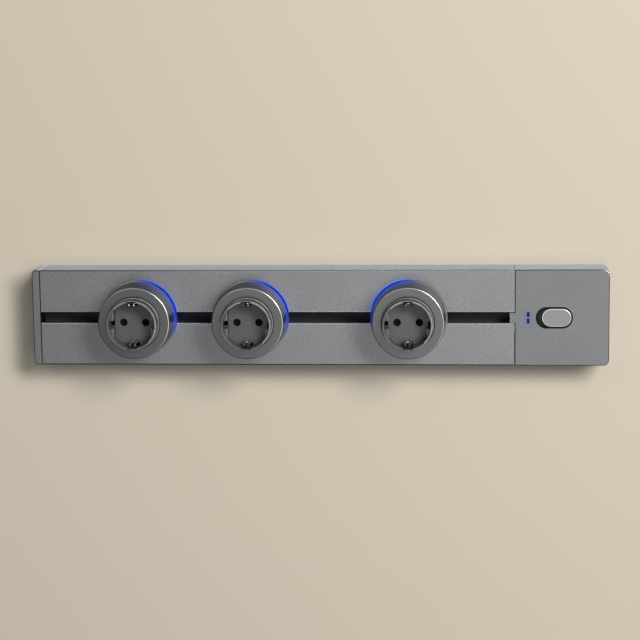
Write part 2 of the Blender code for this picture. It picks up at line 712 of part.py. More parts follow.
stem_play = KNOB_TRAVEL / 2 + KNOB_STEM_LENGTH / 2 + GAP
bm = bmesh.new()
grow_prism(
    bm,
    capsule(
        RECESS_X, 0.0, RECESS_LENGTH + 2 * BEZEL_FLANGE_REACH, RECESS_HEIGHT + 2 * BEZEL_FLANGE_REACH
    ),
    "Y",
    -(CASE_INSIDE_FRONT - GAP),
    -BEZEL_BACK,
)
bezel = piece("switch_bezel", bm, BLACK_PLASTIC)
bm = bmesh.new()
grow_prism(
    bm,
    capsule(RECESS_X, 0.0, RECESS_LENGTH - 2 * GAP, RECESS_HEIGHT - 2 * GAP),
    "Y",
    -BEZEL_FACE,
    -(BEZEL_BACK + BEZEL_FLANGE / 2),
)
boolean(bezel, tool("bezel_face", bm), "UNION")
bm = bmesh.new()
grow_box(
    bm,
    (RECESS_X - stem_play, RECESS_X + stem_play),
    (-(TRACK_DEPTH + GAP), -(BEZEL_BACK - GAP)),
    (-KNOB_STEM_HEIGHT / 2 - GAP, KNOB_STEM_HEIGHT / 2 + GAP),
)
boolean(bezel, tool("bezel_slot", bm), "DIFFERENCE")

# Slide knob and the carriage that it drives, both at the right-hand stop

switch_slide = empty("switch_slide", (KNOB_X, 0.0, 0.0))
carriage_front = BEZEL_BACK - GAP
stem_back = carriage_front - STEM_ENGAGEMENT
bm = bmesh.new()
grow_prism(
    bm, capsule(0.0, 0.0, KNOB_LENGTH, KNOB_HEIGHT), "Y", -(TRACK_DEPTH + KNOB_PROUD), -(BEZEL_FACE + GAP)
)
knob = piece("switch_knob", bm, SATIN_GREY, switch_slide)
bevel(knob, KNOB_BEVEL, 2)
bm = bmesh.new()
grow_box(
    bm,
    (-KNOB_STEM_LENGTH / 2, KNOB_STEM_LENGTH / 2),
    (-(BEZEL_FACE + 2 * GAP), -stem_back),
    (-KNOB_STEM_HEIGHT / 2, KNOB_STEM_HEIGHT / 2),
)
boolean(knob, tool("knob_stem", bm, switch_slide), "UNION")
bm = bmesh.new()
grow_box(
    bm,
    (-CARRIAGE_LENGTH / 2, CARRIAGE_LENGTH / 2),
    (-carriage_front, -(carriage_front - CARRIAGE_DEPTH)),
    (-CARRIAGE_HEIGHT / 2, CARRIAGE_HEIGHT / 2),
)
carriage = piece("switch_carriage", bm, GUIDE_PLASTIC, switch_slide)
bm = bmesh.new()
grow_box(
    bm,
    (-KNOB_STEM_LENGTH / 2 - GAP, KNOB_STEM_LENGTH / 2 + GAP),
    (-(carriage_front + GAP), -(stem_back - GAP)),
    (-KNOB_STEM_HEIGHT / 2 - GAP, KNOB_STEM_HEIGHT / 2 + GAP),
)
boolean(carriage, tool("stem_pocket", bm, switch_slide), "DIFFERENCE")

body_x = CARRIAGE_LENGTH / 2 + KNOB_TRAVEL / 2 + GAP
body_z = CARRIAGE_HEIGHT / 2 + GAP
bm = bmesh.new()
grow_box(
    bm,
    (RECESS_X - body_x - SWITCH_BODY_WALL, RECESS_X + body_x + SWITCH_BODY_WALL),
    (-carriage_front, -(BOARD_FRONT + GAP)),
    (-body_z - SWITCH_BODY_WALL, body_z + SWITCH_BODY_WALL),
)
switch_body = piece("switch_body", bm, BLACK_PLASTIC)
bm = bmesh.new()
grow_box(
    bm,
    (RECESS_X - body_x, RECESS_X + body_x),
    (-(carriage_front + GAP), -(carriage_front - CARRIAGE_DEPTH - GAP)),
    (-body_z, body_z),
)
boolean(switch_body, tool("switch_body_well", bm), "DIFFERENCE")

# Socket modules

shell_profile = [
    (SHELL_RADIUS + SHELL_FLARE, SHELL_BOTTOM),
    *arc(SHELL_RADIUS - SHELL_FILLET, SHELL_HEIGHT - SHELL_FILLET, SHELL_FILLET, 0, 90, 5),
    (COLLAR_RADIUS + COLLAR_PLAY, SHELL_HEIGHT),
    (COLLAR_RADIUS + COLLAR_PLAY, SHELL_HEIGHT - SHELL_FACE),
    (SHELL_INSIDE - SHELL_FACE / 2, SHELL_HEIGHT - SHELL_FACE),
    (SHELL_INSIDE, SHELL_HEIGHT - SHELL_FACE * 1.5),
    (SHELL_INSIDE, SHELL_BOTTOM),
]
ring_inside = SHELL_RADIUS - RING_WIDTH
ring_outside = SHELL_RADIUS + SHELL_FLARE + RING_LEDGE
ring_profile = [
    (ring_inside, RING_BOTTOM),
    (ring_outside, RING_BOTTOM),
    (ring_outside, RING_TOP - RING_EDGE),
    (ring_outside - RING_EDGE, RING_TOP),
    (ring_inside, RING_TOP),
]
insert_profile = [
    (0.0, FLOOR_BACK),
    (COLLAR_RADIUS, FLOOR_BACK),
    (COLLAR_RADIUS, FLANGE_BOTTOM),
    (FLANGE_RADIUS, FLANGE_BOTTOM),
    (FLANGE_RADIUS, FLANGE_TOP),
    (COLLAR_RADIUS, FLANGE_TOP),
    (COLLAR_RADIUS, LIP_LEVEL - COLLAR_EDGE),
    (COLLAR_RADIUS - COLLAR_EDGE, LIP_LEVEL),
    (WELL_RADIUS + COLLAR_EDGE, LIP_LEVEL),
    (WELL_RADIUS, LIP_LEVEL - COLLAR_EDGE),
    (WELL_RADIUS, WELL_FLOOR),
    (0.0, WELL_FLOOR),
]
lug_root = WELL_RADIUS + COLLAR_WALL / 2
lug_start = math.degrees(math.asin(LUG_NOTCH / 2 / lug_root))
lug_end = math.degrees(math.acos(LUG_CHORD / lug_root))
lug_outline = [(LUG_CHORD, LUG_NOTCH / 2), *arc(0.0, 0.0, lug_root, lug_start, lug_end, 5)]
strap_mid = EARTH_FACE + EARTH_STRIP / 2
strap_low = STRAP_BOTTOM + EARTH_STRIP / 2
clip_top = LIP_LEVEL - EARTH_DROP
clip_rise = clip_top - WELL_FLOOR
half_strap = [
    (strap_mid, strap_low),
    (strap_mid, WELL_FLOOR + clip_rise * 0.06),
    (strap_mid - EARTH_BULGE * 0.7, WELL_FLOOR + clip_rise * 0.24),
    (strap_mid - EARTH_BULGE, WELL_FLOOR + clip_rise * 0.42),
    (strap_mid - EARTH_BULGE * 0.6, WELL_FLOOR + clip_rise * 0.66),
    (strap_mid + EARTH_FLARE, clip_top),
]
strap_path = [(-z, h) for z, h in reversed(half_strap)] + half_strap
contact_half = [
    (CONTACT_ROOT + CONTACT_SHEET, CONTACT_BOTTOM),
    (CONTACT_THROAT + CONTACT_SHEET, CONTACT_TOP - CONTACT_WIDTH),
    (CONTACT_MOUTH + CONTACT_SHEET, CONTACT_TOP),
    (CONTACT_MOUTH, CONTACT_TOP),
    (CONTACT_THROAT, CONTACT_TOP - CONTACT_WIDTH),
    (CONTACT_ROOT, CONTACT_BOTTOM + CONTACT_SHEET),
]
contact_outline = contact_half + [(-z, h) for z, h in reversed(contact_half)]
pocket_half_x = CONTACT_WIDTH / 2 + GAP
pocket_half_z = CONTACT_ROOT + CONTACT_SHEET + GAP
lobe = SHUTTER_LOBE_DEGREES
shutter_reach = PIN_SPACING / 2 + PIN_HOLE_RADIUS + 2 * GAP
hub_turn = math.degrees(math.acos(min(1.0, SHUTTER_HUB_RADIUS * math.cos(math.radians(lobe)) / SHUTTER_HUB_RADIUS)))
shutter_outline = [
    *arc(0.0, 0.0, shutter_reach, -lobe, lobe, 6),
    *arc(0.0, 0.0, SHUTTER_HUB_RADIUS, hub_turn, 180 - hub_turn, 8),
    *arc(0.0, 0.0, shutter_reach, 180 - lobe, 180 + lobe, 6),
    *arc(0.0, 0.0, SHUTTER_HUB_RADIUS, 180 + hub_turn, 360 - hub_turn, 8),
]
foot_turn = math.degrees(math.acos(FOOT_HALF_WIDTH / FOOT_REACH))
foot_outline = [
    *arc(0.0, 0.0, FOOT_REACH, foot_turn, 180 - foot_turn, 6),
    *arc(0.0, 0.0, FOOT_REACH, 180 + foot_turn, 360 - foot_turn, 6),
]
blades = (
    ("blade_live", 1, BACK_BLADE),
    ("blade_neutral", -1, BACK_BLADE),
    ("blade_earth", 1, FRONT_BLADE),
)


def build_module(number, centre_x):
    tag = f"_{number}"
    slide = empty("slide" + tag, (centre_x, -TRACK_DEPTH, 0.0))
    twist = empty("twist" + tag, (0.0, 0.0, 0.0), slide)

    bm = bmesh.new()
    grow_lathe(bm, ring_profile, ROUND_STEPS)
    piece("light_ring" + tag, bm, BLUE_LIGHT, slide, True)

    bm = bmesh.new()
    disc_radius = ring_inside - GAP
    disc = [(0.0, RING_BOTTOM), (disc_radius, RING_BOTTOM), (disc_radius, RING_TOP), (0.0, RING_TOP)]
    grow_lathe(bm, disc, ROUND_STEPS)
    glide = piece("glide" + tag, bm, BLACK_PLASTIC, slide)
    bm = bmesh.new()
    grow_box(
        bm,
        (-GLIDE_KEY_LENGTH / 2, GLIDE_KEY_LENGTH / 2),
        (-(RING_BOTTOM + RING_HEIGHT / 2), -(FOOT_TOP + 2 * GAP)),
        (-SLOT_HALF + GAP, SLOT_HALF - GAP),
    )
    boolean(glide, tool("glide_key" + tag, bm, slide), "UNION")
    bm = bmesh.new()
    bore = STEM_RADIUS + GLIDE_BORE_PLAY
    grow_lathe(
        bm, [(0.0, FOOT_TOP), (bore, FOOT_TOP), (bore, RING_TOP + GAP), (0.0, RING_TOP + GAP)], SMALL_STEPS
    )
    boolean(glide, tool("glide_bore" + tag, bm, slide), "DIFFERENCE")

    bm = bmesh.new()
    grow_lathe(bm, shell_profile, ROUND_STEPS)
    piece("cap_shell" + tag, bm, ANODISED, twist, True)

    bm = bmesh.new()
    grow_lathe(bm, insert_profile, ROUND_STEPS)
    insert = piece("insert" + tag, bm, SOCKET_GREY, twist, True)
    bm = bmesh.new()
    for mirror_x in (1, -1):
        for mirror_z in (1, -1):
            outline = [(mirror_x * x, mirror_z * z) for x, z in lug_outline]
            grow_prism(bm, outline, "Y", -(LIP_LEVEL - LUG_DROP), -(WELL_FLOOR - FLOOR_THICKNESS / 2))
            post_x = mirror_x * POST_CIRCLE * math.sqrt(0.5)
            post_z = mirror_z * POST_CIRCLE * math.sqrt(0.5)
            post = [
                (0.0, BASE_TOP + GAP),
                (POST_RADIUS, BASE_TOP + GAP),
                (POST_RADIUS, FLANGE_BOTTOM + FLANGE_THICKNESS / 2),
                (0.0, FLANGE_BOTTOM + FLANGE_THICKNESS / 2),
            ]
            grow_lathe(bm, post, 10, (post_x, post_z))
    boss = [
        (0.0, SHUTTER_BOTTOM),
        (SHUTTER_BOSS_RADIUS, SHUTTER_BOTTOM),
        (SHUTTER_BOSS_RADIUS, FLOOR_BACK + FLOOR_THICKNESS / 2),
        (0.0, FLOOR_BACK + FLOOR_THICKNESS / 2),
    ]
    grow_lathe(bm, boss, 12)
    boolean(insert, tool("insert_lugs" + tag, bm, twist), "UNION")
    bm = bmesh.new()
    for mirror in (1, -1):
        hole = [
            (0.0, FLOOR_BACK - GAP),
            (PIN_HOLE_RADIUS, FLOOR_BACK - GAP),
            (PIN_HOLE_RADIUS, WELL_FLOOR - PIN_COUNTERSINK),
            (PIN_HOLE_RADIUS + PIN_COUNTERSINK + GAP, WELL_FLOOR + GAP),
            (0.0, WELL_FLOOR + GAP),
        ]
        grow_lathe(bm, hole, SMALL_STEPS, (mirror * PIN_SPACING / 2, 0.0))
        pocket_x = EARTH_WIDTH / 2 + EARTH_POCKET
        pocket_z = sorted((mirror * (EARTH_FACE - GAP), mirror * (EARTH_FACE + EARTH_STRIP + EARTH_POCKET_DEPTH)))
        grow_box(bm, (-pocket_x, pocket_x), (-(LIP_LEVEL + GAP), -(FLOOR_BACK - GAP)), pocket_z)
    boolean(insert, tool("insert_holes" + tag, bm, twist), "DIFFERENCE")

    bm = bmesh.new()
    strap = strip(strap_path, EARTH_STRIP)
    grow_prism(bm, [(-h, z) for z, h in strap], "X", -EARTH_WIDTH / 2, EARTH_WIDTH / 2)
    earth_strap = piece("earth_strap" + tag, bm, SPRING_BRONZE, twist)
    bm = bmesh.new()
    for mirror in (1, -1):
        split_z = sorted((mirror * (EARTH_FACE - 3 * EARTH_BULGE), mirror * (EARTH_FACE + 3 * EARTH_FLARE)))
        grow_box(
            bm,
            (-EARTH_SPLIT / 2, EARTH_SPLIT / 2),
            (-(clip_top + EARTH_STRIP), -(WELL_FLOOR + EARTH_SPLIT_RISE)),
            split_z,
        )
    boolean(earth_strap, tool("strap_split" + tag, bm, twist), "DIFFERENCE")

    for mirror, name in ((-1, "contact_live"), (1, "contact_neutral")):
        bm = bmesh.new()
        middle = mirror * PIN_SPACING / 2
        outline = [(-h, z) for z, h in contact_outline]
        grow_prism(bm, outline, "X", middle - CONTACT_WIDTH / 2, middle + CONTACT_WIDTH / 2)
        piece(name + tag, bm, COPPER, twist)

    bm = bmesh.new()
    plate_radius = SHELL_INSIDE - GAP
    base_profile = [
        (0.0, STEM_END),
        (STEM_RADIUS, STEM_END),
        (STEM_RADIUS, SHELL_BOTTOM),
        (plate_radius, SHELL_BOTTOM),
        (plate_radius, BASE_TOP),
        (0.0, BASE_TOP),
    ]
    grow_lathe(bm, base_profile, ROUND_STEPS)
    base = piece("base_plate" + tag, bm, BLACK_PLASTIC, twist)
    bm = bmesh.new()
    root = BASE_TOP - BASE_THICKNESS / 2
    grow_box(
        bm,
        (-CENTRE_TOWER_WIDTH / 2, CENTRE_TOWER_WIDTH / 2),
        (-(STRAP_BOTTOM - GAP), -root),
        (-CENTRE_TOWER_HEIGHT / 2, CENTRE_TOWER_HEIGHT / 2),
    )
    for mirror in (1, -1):
        middle = mirror * PIN_SPACING / 2
        grow_box(
            bm,
            (middle - pocket_half_x - TOWER_WALL, middle + pocket_half_x + TOWER_WALL),
            (-TOWER_TOP, -root),
            (-pocket_half_z - TOWER_WALL, pocket_half_z + TOWER_WALL),
        )
    boolean(base, tool("base_towers" + tag, bm, twist), "UNION")
    bm = bmesh.new()
    for mirror in (1, -1):
        middle = mirror * PIN_SPACING / 2
        grow_box(
            bm,
            (middle - pocket_half_x, middle + pocket_half_x),
            (-(TOWER_TOP + GAP), -POCKET_FLOOR),
            (-pocket_half_z, pocket_half_z),
        )
    screw_bore = SCREW_RADIUS + SCREW_PLAY
    bore_profile = [
        (0.0, STEM_END - GAP),
        (screw_bore, STEM_END - GAP),
        (screw_bore, SCREW_TOP + GAP),
        (0.0, SCREW_TOP + GAP),
    ]
    grow_lathe(bm, bore_profile, 12)
    boolean(base, tool("base_pockets" + tag, bm, twist), "DIFFERENCE")

    bm = bmesh.new()
    grow_prism(bm, foot_outline, "Y", -FOOT_TOP, -FOOT_BOTTOM)
    foot = piece("track_foot" + tag, bm, BLACK_PLASTIC, twist)
    bm = bmesh.new()
    head_bore = SCREW_HEAD_RADIUS + SCREW_PLAY
    foot_bore = [
        (0.0, FOOT_BOTTOM - GAP),
        (head_bore, FOOT_BOTTOM - GAP),
        (head_bore, HEAD_SEAT),
        (screw_bore, HEAD_SEAT),
        (screw_bore, FOOT_TOP + GAP),
        (0.0, FOOT_TOP + GAP),
    ]
    grow_lathe(bm, foot_bore, 12)
    for name, side, level in blades:
        slot_z = sorted((side * (BLADE_TIP - BLADE_LEG - GAP), side * (BLADE_TIP + GAP)))
        slot_y = (-(level + BLADE_SHEET / 2 + GAP), -(level - BLADE_SHEET / 2 - GAP))
        grow_box(bm, (-BLADE_WIDTH / 2 - GAP, BLADE_WIDTH / 2 + GAP), slot_y, slot_z)
    boolean(foot, tool("foot_bore" + tag, bm, twist), "DIFFERENCE")

    for name, side, level in blades:
        half_bar = BAR_WIDTH / 2
        half_leg = BLADE_SHEET / 2
        blade = [
            (BLADE_TIP, -half_bar),
            (BLADE_TIP, half_bar),
            (BLADE_TIP - BLADE_SHEET, half_bar),
            (BLADE_TIP - BLADE_SHEET, half_leg),
            (BLADE_TIP - BLADE_LEG, half_leg),
            (BLADE_TIP - BLADE_LEG, -half_leg),
            (BLADE_TIP - BLADE_SHEET, -half_leg),
            (BLADE_TIP - BLADE_SHEET, -half_bar),
        ]
        bm = bmesh.new()
        outline = [(-(level + h), side * z) for z, h in blade]
        grow_prism(bm, outline, "X", -BLADE_WIDTH / 2, BLADE_WIDTH / 2)
        piece(name + tag, bm, COPPER, twist)

    bm = bmesh.new()
    head_face = HEAD_SEAT - GAP - SCREW_HEAD_HEIGHT
    screw_profile = [
        (0.0, head_face),
        (SCREW_HEAD_RADIUS - GAP, head_face),
        (SCREW_HEAD_RADIUS, head_face + GAP),
        (SCREW_HEAD_RADIUS, HEAD_SEAT - GAP),
        (SCREW_RADIUS, HEAD_SEAT - GAP),
        (SCREW_RADIUS, SCREW_TOP),
        (0.0, SCREW_TOP),
    ]
    grow_lathe(bm, screw_profile, 12)
    piece("foot_screw" + tag, bm, ZINC, twist, True)

    bm = bmesh.new()
    grow_prism(bm, shutter_outline, "Y", -SHUTTER_TOP, -SHUTTER_BOTTOM)
    shutter = piece("shutter" + tag, bm, BLACK_PLASTIC, twist)
    bm = bmesh.new()
    hub_bore = SHUTTER_BOSS_RADIUS + GAP
    hub_profile = [
        (0.0, SHUTTER_BOTTOM - GAP),
        (hub_bore, SHUTTER_BOTTOM - GAP),
        (hub_bore, SHUTTER_TOP + GAP),
        (0.0, SHUTTER_TOP + GAP),
    ]
    grow_lathe(bm, hub_profile, 12)
    boolean(shutter, tool("shutter_bore" + tag, bm, twist), "DIFFERENCE")


for number, centre_x in enumerate((MODULE_ONE_X, MODULE_TWO_X, MODULE_THREE_X), start=1):
    build_module(number, centre_x)
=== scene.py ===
"""Looks of the wall-mounted power track: an anodised rail with three round sockets that slide along its
slot, and a slide main switch at its right end. The script follows the track as it is put together.

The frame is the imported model's: metres, +X along the track, +Y into the wall, +Z up. A height is
measured from the rail's front face into the room, so that y = -rail_face - height.
"""

import math

import bmesh
import bpy
from mathutils import Matrix, Vector


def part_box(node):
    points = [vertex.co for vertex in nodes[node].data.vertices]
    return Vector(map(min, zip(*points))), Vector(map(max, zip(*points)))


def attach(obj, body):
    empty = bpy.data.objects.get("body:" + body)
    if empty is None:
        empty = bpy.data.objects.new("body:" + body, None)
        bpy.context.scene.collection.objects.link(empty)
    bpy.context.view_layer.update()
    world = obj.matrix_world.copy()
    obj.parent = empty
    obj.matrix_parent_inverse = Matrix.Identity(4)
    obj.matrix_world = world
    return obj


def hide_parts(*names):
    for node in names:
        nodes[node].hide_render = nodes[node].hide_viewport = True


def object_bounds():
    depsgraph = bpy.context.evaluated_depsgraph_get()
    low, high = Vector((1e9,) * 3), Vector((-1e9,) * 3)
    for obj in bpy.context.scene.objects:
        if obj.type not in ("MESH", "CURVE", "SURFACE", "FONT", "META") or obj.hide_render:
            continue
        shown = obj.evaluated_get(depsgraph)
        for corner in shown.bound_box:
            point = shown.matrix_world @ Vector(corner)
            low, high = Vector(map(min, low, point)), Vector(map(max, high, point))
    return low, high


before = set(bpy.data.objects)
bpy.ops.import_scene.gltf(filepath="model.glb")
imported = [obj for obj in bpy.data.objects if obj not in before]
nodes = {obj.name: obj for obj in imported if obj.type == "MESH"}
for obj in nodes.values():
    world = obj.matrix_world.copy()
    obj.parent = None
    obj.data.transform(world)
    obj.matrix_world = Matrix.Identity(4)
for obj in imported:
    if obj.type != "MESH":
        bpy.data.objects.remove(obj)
cad_low, cad_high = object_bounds()
mm = 0.001

# Rail: one length of extruded aluminium with the slot between two lips and the chamber behind it, sawn
# square, bead blasted and anodised a dark neutral grey. The die leaves a small round on every edge. The
# slot's inner walls are painted nearly black, as shade.

rail_low, rail_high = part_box("rail_extrusion")
rail_face = -rail_low.y
half_height = rail_high.z
weld_distance = 0.002 * mm
flat_degrees = 0.6
smooth_degrees = 34


def link(name, data):
    obj = bpy.data.objects.new(name, data)
    bpy.context.scene.collection.objects.link(obj)
    return obj


def merged_copy(node, name):
    """A copy of a CAD node with its loose triangles merged and its flats joined into whole faces."""
    source = nodes[node].data
    mesh = bpy.data.meshes.new(name)
    mesh.from_pydata([v.co for v in source.vertices], [], [p.vertices for p in source.polygons])
    bm = bmesh.new()
    bm.from_mesh(mesh)
    bmesh.ops.remove_doubles(bm, verts=bm.verts, dist=weld_distance)
    bmesh.ops.dissolve_limit(bm, angle_limit=math.radians(flat_degrees), verts=bm.verts, edges=bm.edges)
    bm.to_mesh(mesh)
    bm.free()
    return link(name, mesh)


def soften(obj, width, segments=2):
    """Rounds the sharp edges a little, as blasting or a mould does, and marks those rounds."""
    for _ in range(2 - len(obj.data.materials)):
        obj.data.materials.append(None)
    step = obj.modifiers.new("broken edges", "BEVEL")
    step.width = width
    step.segments = segments
    step.limit_method = "ANGLE"
    step.angle_limit = math.radians(smooth_degrees)
    step.material = 1
    step.use_clamp_overlap = True


def baked(obj):
    """Replaces the object's data by the plain mesh that its modifiers give."""
    graph = bpy.context.evaluated_depsgraph_get()
    mesh = bpy.data.meshes.new_from_object(obj.evaluated_get(graph), depsgraph=graph)
    name = obj.name
    if obj.type == "MESH":
        obj.modifiers.clear()
        obj.data = mesh
    else:
        bpy.data.objects.remove(obj, do_unlink=True)
        obj = link(name, mesh)
    mesh.name = name
    return obj


def settle(obj, look, degrees=smooth_degrees, rubbed=None, spared=None, axis_x=0.0):
    """The finished piece: a plain mesh with smooth rounds, flat flats, marked edges and one material. A
    face's place is measured from axis_x along the track when it is asked whether it is marked, for wear
    and painted edge light, or spared."""
    obj = baked(obj)
    mesh = obj.data
    edge = mesh.attributes.new("edge", "FLOAT", "FACE")
    marks = []
    for face in mesh.polygons:
        spot = face.center - Vector((axis_x, 0.0, 0.0))
        mark = face.material_index == 1 and not (spared and spared(spot))
        marks.append(max(float(mark), float(rubbed(spot)) if rubbed else 0.0))
    edge.data.foreach_set("value", marks)
    mesh.polygons.foreach_set("material_index", [0] * len(mesh.polygons))
    mesh.materials.clear()
    mesh.materials.append(look)
    mesh.shade_smooth()
    mesh.set_sharp_from_angle(angle=math.radians(degrees))
    flats = obj.modifiers.new("flats", "WEIGHTED_NORMAL")
    flats.keep_sharp = True
    return baked(obj)


def finished(node, name, width, look, **marks):
    """A CAD node's own shape with softened edges, in its look."""
    piece = merged_copy(node, name)
    soften(piece, width)
    return settle(piece, look, **marks)


def feed(tree, value, socket):
    """Links an output to a socket, or sets the socket to a plain number, colour or vector."""
    if isinstance(value, bpy.types.NodeSocket):
        tree.links.new(value, socket)
    elif isinstance(value, tuple):
        socket.default_value = (*value, 1.0)[: len(socket.default_value)]
    elif value is not None:
        socket.default_value = value


def set_inputs(tree, node, **values):
    """Feeds a node's inputs by their titles, with _ for each space in a title."""
    for title, value in values.items():
        feed(tree, value, node.inputs[title.replace("_", " ")])
    return node


def add(tree, kind, **values):
    return set_inputs(tree, tree.nodes.new(kind), **values)


def effect(name, outputs, **inputs):
    """An empty shader group with its titled sockets, its input node's outputs and its output node."""
    group = bpy.data.node_groups.new(name, "ShaderNodeTree")
    for title, value in inputs.items():
        kind = "NodeSocketColor" if isinstance(value, tuple) else "NodeSocketFloat"
        socket = group.interface.new_socket(title.replace("_", " "), in_out="INPUT", socket_type=kind)
        socket.default_value = (*value, 1.0) if isinstance(value, tuple) else value
    for title in outputs:
        kind = "NodeSocketColor" if title == "Colour" else "NodeSocketFloat"
        group.interface.new_socket(title, in_out="OUTPUT", socket_type=kind)
    return group, group.nodes.new("NodeGroupInput").outputs, group.nodes.new("NodeGroupOutput")


def math_node(tree, operation, a, b=None, clamp=False):
    node = tree.nodes.new("ShaderNodeMath")
    node.operation = operation
    node.use_clamp = clamp
    feed(tree, a, node.inputs[0])
    feed(tree, b, node.inputs[1])
    return node.outputs[0]


def vector_math(tree, operation, a, b):
    node = tree.nodes.new("ShaderNodeVectorMath")
    node.operation = operation
    feed(tree, a, node.inputs[0])
    feed(tree, b, node.inputs["Scale" if operation == "SCALE" else 1])
    return node.outputs["Vector" if operation == "SCALE" else "Value"]


def blend_colour(tree, factor, a, b):
    node = tree.nodes.new("ShaderNodeMix")
    node.data_type = "RGBA"
    for index, value in ((0, factor), (6, a), (7, b)):
        feed(tree, value, node.inputs[index])
    return node.outputs[2]


def remap(tree, value, low, high, to_low, to_high, smooth=False):
    node = tree.nodes.new("ShaderNodeMapRange")
    node.interpolation_type = "SMOOTHSTEP" if smooth else "LINEAR"
    for index, number in enumerate((value, low, high, to_low, to_high)):
        feed(tree, number, node.inputs[index])
    return node.outputs[0]


def noise(tree, place, scale, detail=2.0, rough=0.5):
    node = add(tree, "ShaderNodeTexNoise", Vector=place, Scale=scale, Detail=detail, Roughness=rough)
    return node.outputs[0]


def object_place(tree):
    return tree.nodes.new("ShaderNodeTexCoord").outputs["Object"]


def axes(tree):
    """The outputs X, Y and Z of the place on the piece."""
    return add(tree, "ShaderNodeSeparateXYZ", Vector=object_place(tree)).outputs


# Bead blasting: its relief is a fine pitted grain. A coarser mottle changes the anodic film's tone and
# gloss, and a slow drift changes its tone along the piece.
blasted, given, result = effect(
    "bead_blasted_skin",
    ("Colour", "Roughness", "Height"),
    Colour=(0.2, 0.2, 0.2),
    Grain_Scale=2400.0,
    Mottle_Scale=900.0,
    Mottle=0.24,
    Gloss=0.45,
)
place = object_place(blasted)
grain = noise(blasted, place, given["Grain Scale"], 3.0, 0.6)
mottle = noise(blasted, place, given["Mottle Scale"], 2.0, 0.6)
drift = noise(blasted, place, 26.0)
spread = math_node(blasted, "MULTIPLY", remap(blasted, mottle, 0.32, 0.68, -1.0, 1.0), given["Mottle"])
tone = math_node(blasted, "ADD", spread, remap(blasted, drift, 0.3, 0.7, 0.97, 1.03))
fine = math_node(blasted, "MULTIPLY", tone, remap(blasted, grain, 0.3, 0.7, 0.93, 1.07))
shade = vector_math(blasted, "SCALE", given["Colour"], fine)
gloss = math_node(blasted, "ADD", given["Gloss"], remap(blasted, mottle, 0.3, 0.7, -0.035, 0.035))
set_inputs(blasted, result, Colour=shade, Roughness=gloss, Height=grain)

# Edge wear and painted edge light: the marked rounds of a piece have a tone and a smoothness of their
# own. On the plastics this is rubbing by hands and tools; on the metal pieces and the socket insert
# the tone is painted highlight and shade. It comes in patches, or evenly.
edge_wear_and_sheen, given, result = effect(
    "worn_and_painted_edges",
    ("Colour", "Roughness", "Mask"),
    Colour=(0.2, 0.2, 0.2),
    Worn_Colour=(0.5, 0.5, 0.5),
    Roughness=0.45,
    Worn_Roughness=0.3,
    Amount=0.5,
    Evenness=0.35,
)
edge_mark = edge_wear_and_sheen.nodes.new("ShaderNodeAttribute")
edge_mark.attribute_name = "edge"
patches = remap(edge_wear_and_sheen, noise(edge_wear_and_sheen, object_place(edge_wear_and_sheen), 90.0, 4.0, 0.65), 0.35, 0.6, 0.0, 1.0)
patches = math_node(edge_wear_and_sheen, "MULTIPLY", patches, math_node(edge_wear_and_sheen, "SUBTRACT", 1.0, given["Evenness"]))
patches = math_node(edge_wear_and_sheen, "ADD", patches, given["Evenness"])
mask = math_node(edge_wear_and_sheen, "MULTIPLY", edge_mark.outputs["Fac"], patches)
mask = math_node(edge_wear_and_sheen, "MULTIPLY", mask, given["Amount"], clamp=True)
shade = blend_colour(edge_wear_and_sheen, mask, given["Colour"], given["Worn Colour"])
smoother = math_node(edge_wear_and_sheen, "SUBTRACT", given["Worn Roughness"], given["Roughness"])
gloss = math_node(edge_wear_and_sheen, "ADD", given["Roughness"], math_node(edge_wear_and_sheen, "MULTIPLY", smoother, mask))
set_inputs(edge_wear_and_sheen, result, Colour=shade, Roughness=gloss, Mask=mask)


def new_look(name, metallic, specular=0.5):
    look = bpy.data.materials.new(name)
    look.use_nodes = True
    tree = look.node_tree
    shader = tree.nodes["Principled BSDF"]
    return look, tree, set_inputs(tree, shader, Metallic=metallic, Specular_IOR_Level=specular)


def use(tree, group, **values):
    """Places a shared effect in a material with its own values."""
    node = tree.nodes.new("ShaderNodeGroup")
    node.node_tree = group
    return set_inputs(tree, node, **values)


def bump(tree, shader, height, strength, distance, smooth=None):
    """Relief of the surface, which is a tenth as strong where the smooth mask is 1."""
    node = add(tree, "ShaderNodeBump", Strength=strength, Distance=distance, Height=height)
    if smooth:
        feed(tree, remap(tree, smooth, 0.0, 1.0, strength, 0.1 * strength), node.inputs["Strength"])
    set_inputs(tree, shader, Normal=node.outputs[0])


def lay_edge_tone(tree, shader, skin, edge_colour, edge_gloss, **values):
    """Lays the edge wear and the painted edge light over a skin and feeds the shader with the two."""
    rim = use(
        tree,
        edge_wear_and_sheen,
        Colour=skin.outputs["Colour"],
        Worn_Colour=edge_colour,
        Roughness=skin.outputs["Roughness"],
        Worn_Roughness=edge_gloss,
        **values,
    )
    rim.name = "edge_tone"
    set_inputs(tree, shader, Base_Color=rim.outputs["Colour"], Roughness=rim.outputs["Roughness"])
    return rim


def anodised(name, colour, gloss, metallic, mottle, edge_colour, edge_gloss, even=0.85):
    """Bead blasted aluminium under its sealed anodic film, with smoother edge rounds whose tone is
    painted highlight and shade.
    """
    look, tree, shader = new_look(name, metallic)
    set_inputs(tree, shader, Coat_Weight=0.2, Coat_Roughness=0.3)
    skin = use(tree, blasted, Colour=colour, Gloss=gloss, Mottle=mottle)
    rim = lay_edge_tone(tree, shader, skin, edge_colour, edge_gloss, Amount=1.0, Evenness=even)
    bump(tree, shader, skin.outputs["Height"], 0.25, 0.03 * mm, rim.outputs["Mask"])
    return look


def overcoat(look, mask, colour):
    """Lays another colour over a look where the mask is 1."""
    tree = look.node_tree
    base = tree.nodes["Principled BSDF"].inputs["Base Color"]
    feed(tree, blend_colour(tree, mask, base.links[0].from_socket, colour), base)


